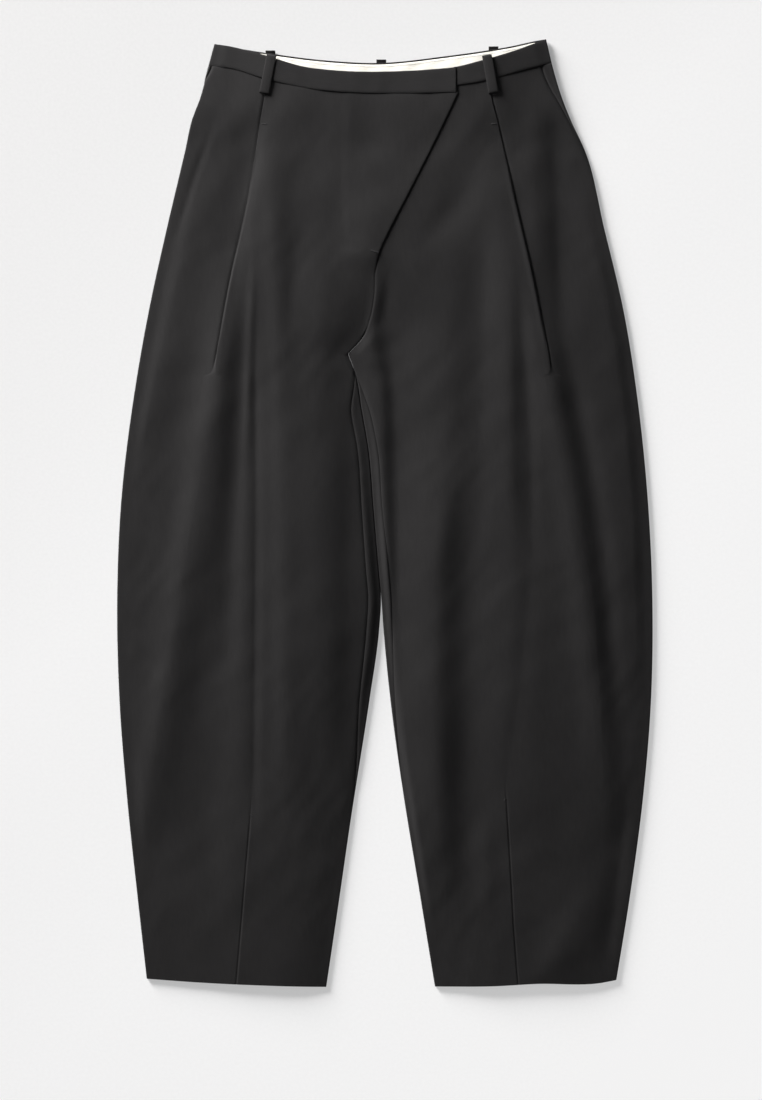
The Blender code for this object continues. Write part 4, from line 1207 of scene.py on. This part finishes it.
def buildCamera():  # straight above the photo's middle, with the photo's frame at the surface
    view = {"centre": (-4.35, -39.7), "frameHeight": 1196.3, "lens": 85.0, "sensor": 36.0}
    camera = bpy.data.cameras.new("photoCamera")
    camera.lens, camera.sensor_width = view["lens"], view["sensor"]
    camera.clip_end = 20.0
    holder = bpy.data.objects.new("photoCamera", camera)
    bpy.context.scene.collection.objects.link(holder)
    distance = view["frameHeight"] * view["lens"] / view["sensor"] * millimetre
    x, y = (np.array(view["centre"]) + shift[:2]) * millimetre
    holder.location = (x, y, distance)
    bpy.context.scene.camera = holder
    print("camera at", round(distance, 3), "m")


# The floor, in metres. Columns of its glow: place along the line away from the key light, strength
floorLook = {
    "half": 14.0,
    "level": -0.0002,
    "grain": 300.0,
    "dark": (0.485, 0.485, 0.488),
    "light": (0.505, 0.505, 0.508),
    "away": (0.67, -0.74, 0.0),
    "glow": ((0.155, 0.01), (0.435, 0.312), (0.5, 0.345), (0.595, 0.41), (0.875, 0.525)),
}


def buildStage():
    half, level = floorLook["half"], floorLook["level"]
    mesh = bpy.data.meshes.new("floor")
    corners = [(x * half, y * half, level) for x, y in ((-1, -1), (1, -1), (1, 1), (-1, 1))]
    mesh.from_pydata(corners, [], [(0, 1, 2, 3)])
    floor = bpy.data.objects.new("floor", mesh)
    bpy.context.scene.collection.objects.link(floor)
    paper = bpy.data.materials.new("paleGlowingFloor")
    paper.use_nodes = True
    tree = paper.node_tree
    shader = tree.nodes["Principled BSDF"]
    place = tree.nodes.new("ShaderNodeTexCoord")
    grain = newNode(tree, "TexNoise", place.outputs["Object"], {"Scale": floorLook["grain"]})
    paleness = ramp(tree, grain.outputs["Fac"], [(0.3, floorLook["dark"]), (0.7, floorLook["light"])])
    tree.links.new(paleness, shader.inputs["Base Color"])
    shader.inputs["Roughness"].default_value = 0.9
    # The floor glows with painted light, stronger away from the key light, so that the surface looks even
    away = tree.nodes.new("ShaderNodeVectorMath")
    away.operation = "DOT_PRODUCT"
    away.inputs[1].default_value = floorLook["away"]
    tree.links.new(place.outputs["Object"], away.inputs[0])
    along = mathNode(tree, "ADD", mathNode(tree, "MULTIPLY", away.outputs["Value"], 0.5), 0.5, clamp=True)
    strength = ramp(tree, along, [(at, (value, value, value)) for at, value in floorLook["glow"]])
    tree.links.new(strength, shader.inputs["Emission Strength"])
    shader.inputs["Emission Color"].default_value = (1, 1, 1, 1)
    mesh.materials.append(paper)


# Both lights are square and look at the middle of the scene. The key light is low, at the upper left
lights = {
    "room": 0.10,
    "key": {"place": (-2.6, 2.9, 1.1), "size": 1.6, "power": 590.0, "colour": (1.0, 0.99, 0.98)},
    "fill": {"place": (0.3, 0.2, 3.4), "size": 3.2, "power": 8.0, "colour": (0.97, 0.985, 1.0)},
}


def areaLight(name, place, size, power, colour):
    light = bpy.data.lights.new(name, "AREA")
    light.shape, light.size = "SQUARE", size
    light.energy, light.color = power, colour
    holder = bpy.data.objects.new(name, light)
    bpy.context.scene.collection.objects.link(holder)
    holder.location = place
    gaze = -np.array(place, float)
    gaze /= np.linalg.norm(gaze)
    yaw = math.atan2(gaze[1], gaze[0]) - math.pi / 2
    holder.rotation_euler = (math.acos(-gaze[2]), 0.0, yaw)


def buildLight():
    scene = bpy.context.scene
    scene.view_settings.view_transform = "Standard"
    world = bpy.data.worlds.new("softRoom")
    world.use_nodes = True
    world.node_tree.nodes["Background"].inputs["Color"].default_value = (0.97, 0.98, 1.0, 1)
    world.node_tree.nodes["Background"].inputs["Strength"].default_value = lights["room"]
    scene.world = world
    for name in ("key", "fill"):
        areaLight(name + "Light", **lights[name])


buildCamera()
buildStage()
buildLight()
weave = twillGroup()
wool = clothMaterial("woolCloth", weave, woolSettings)
bandWool = clothMaterial("woolBand", weave, bandPaintedShadeSettings)
loopWool = clothMaterial("woolLoop", weave, loopSettings)
cream = clothMaterial("creamFacing", weave, facingSettings)
thread = clothMaterial("darkThread", weave, threadSettings)
print("materials ready")

for tack in tacks:
    finishPiece(barTack(*tack), thread, "wool_cloth")
finishPiece(facingStitches(), cream, "facing_cloth")
print("sewing")

panels = (
    ("frontRightLeg", "front_right_leg", frontPanel, 1, (0.36, 0.97), 0.252, ["backRightLeg"],
     ["flapTack", "rightPleatTack", "rightDartTack"]),
    ("frontLeftLeg", "front_left_leg", frontPanel, -1, (0.36, 0.97), 0.26, ["backLeftLeg"],
     ["leftPleatTack", "leftDartTack"]),
    ("backRightLeg", "back_right_leg", backPanel, 1, (0.33, 0.99), 0.247, ["floor"], []),
    ("backLeftLeg", "back_left_leg", backPanel, -1, (0.33, 0.99), 0.265, ["floor"], []),
)
for name, node, build, side, flat, area, below, sewn in panels:
    piece = clothShell(name, *build(side))
    finishPiece(piece, wool, "wool_cloth", node)
    print("panel", name)

shell = clothShell("frontRightBand", *frontBand(1))
piece = finishPiece(shell, bandWool, "wool_cloth", "waistband_front_right")
shell = clothShell("frontLeftBand", *frontBand(-1))
piece = finishPiece(shell, bandWool, "wool_cloth", "waistband_front_left")
shell = clothShell("backBand", *backBand())
piece = finishPiece(shell, bandWool, "wool_cloth", "waistband_back")
shell = clothShell("backFacing", *backFacing())
piece = finishPiece(shell, cream, "facing_cloth", "waistband_facing_back")
print("bands")

for (name, node, *ends), side, below in zip(frontLoops, (1, -1), ("frontRightBand", "frontLeftBand")):
    piece = finishPiece(frontLoop(name, *ends, side), loopWool, "wool_cloth", node)
for name, node, x, topY in backLoops:
    piece = finishPiece(backLoop(name, x, topY), loopWool, "wool_cloth", node)
print("loops")
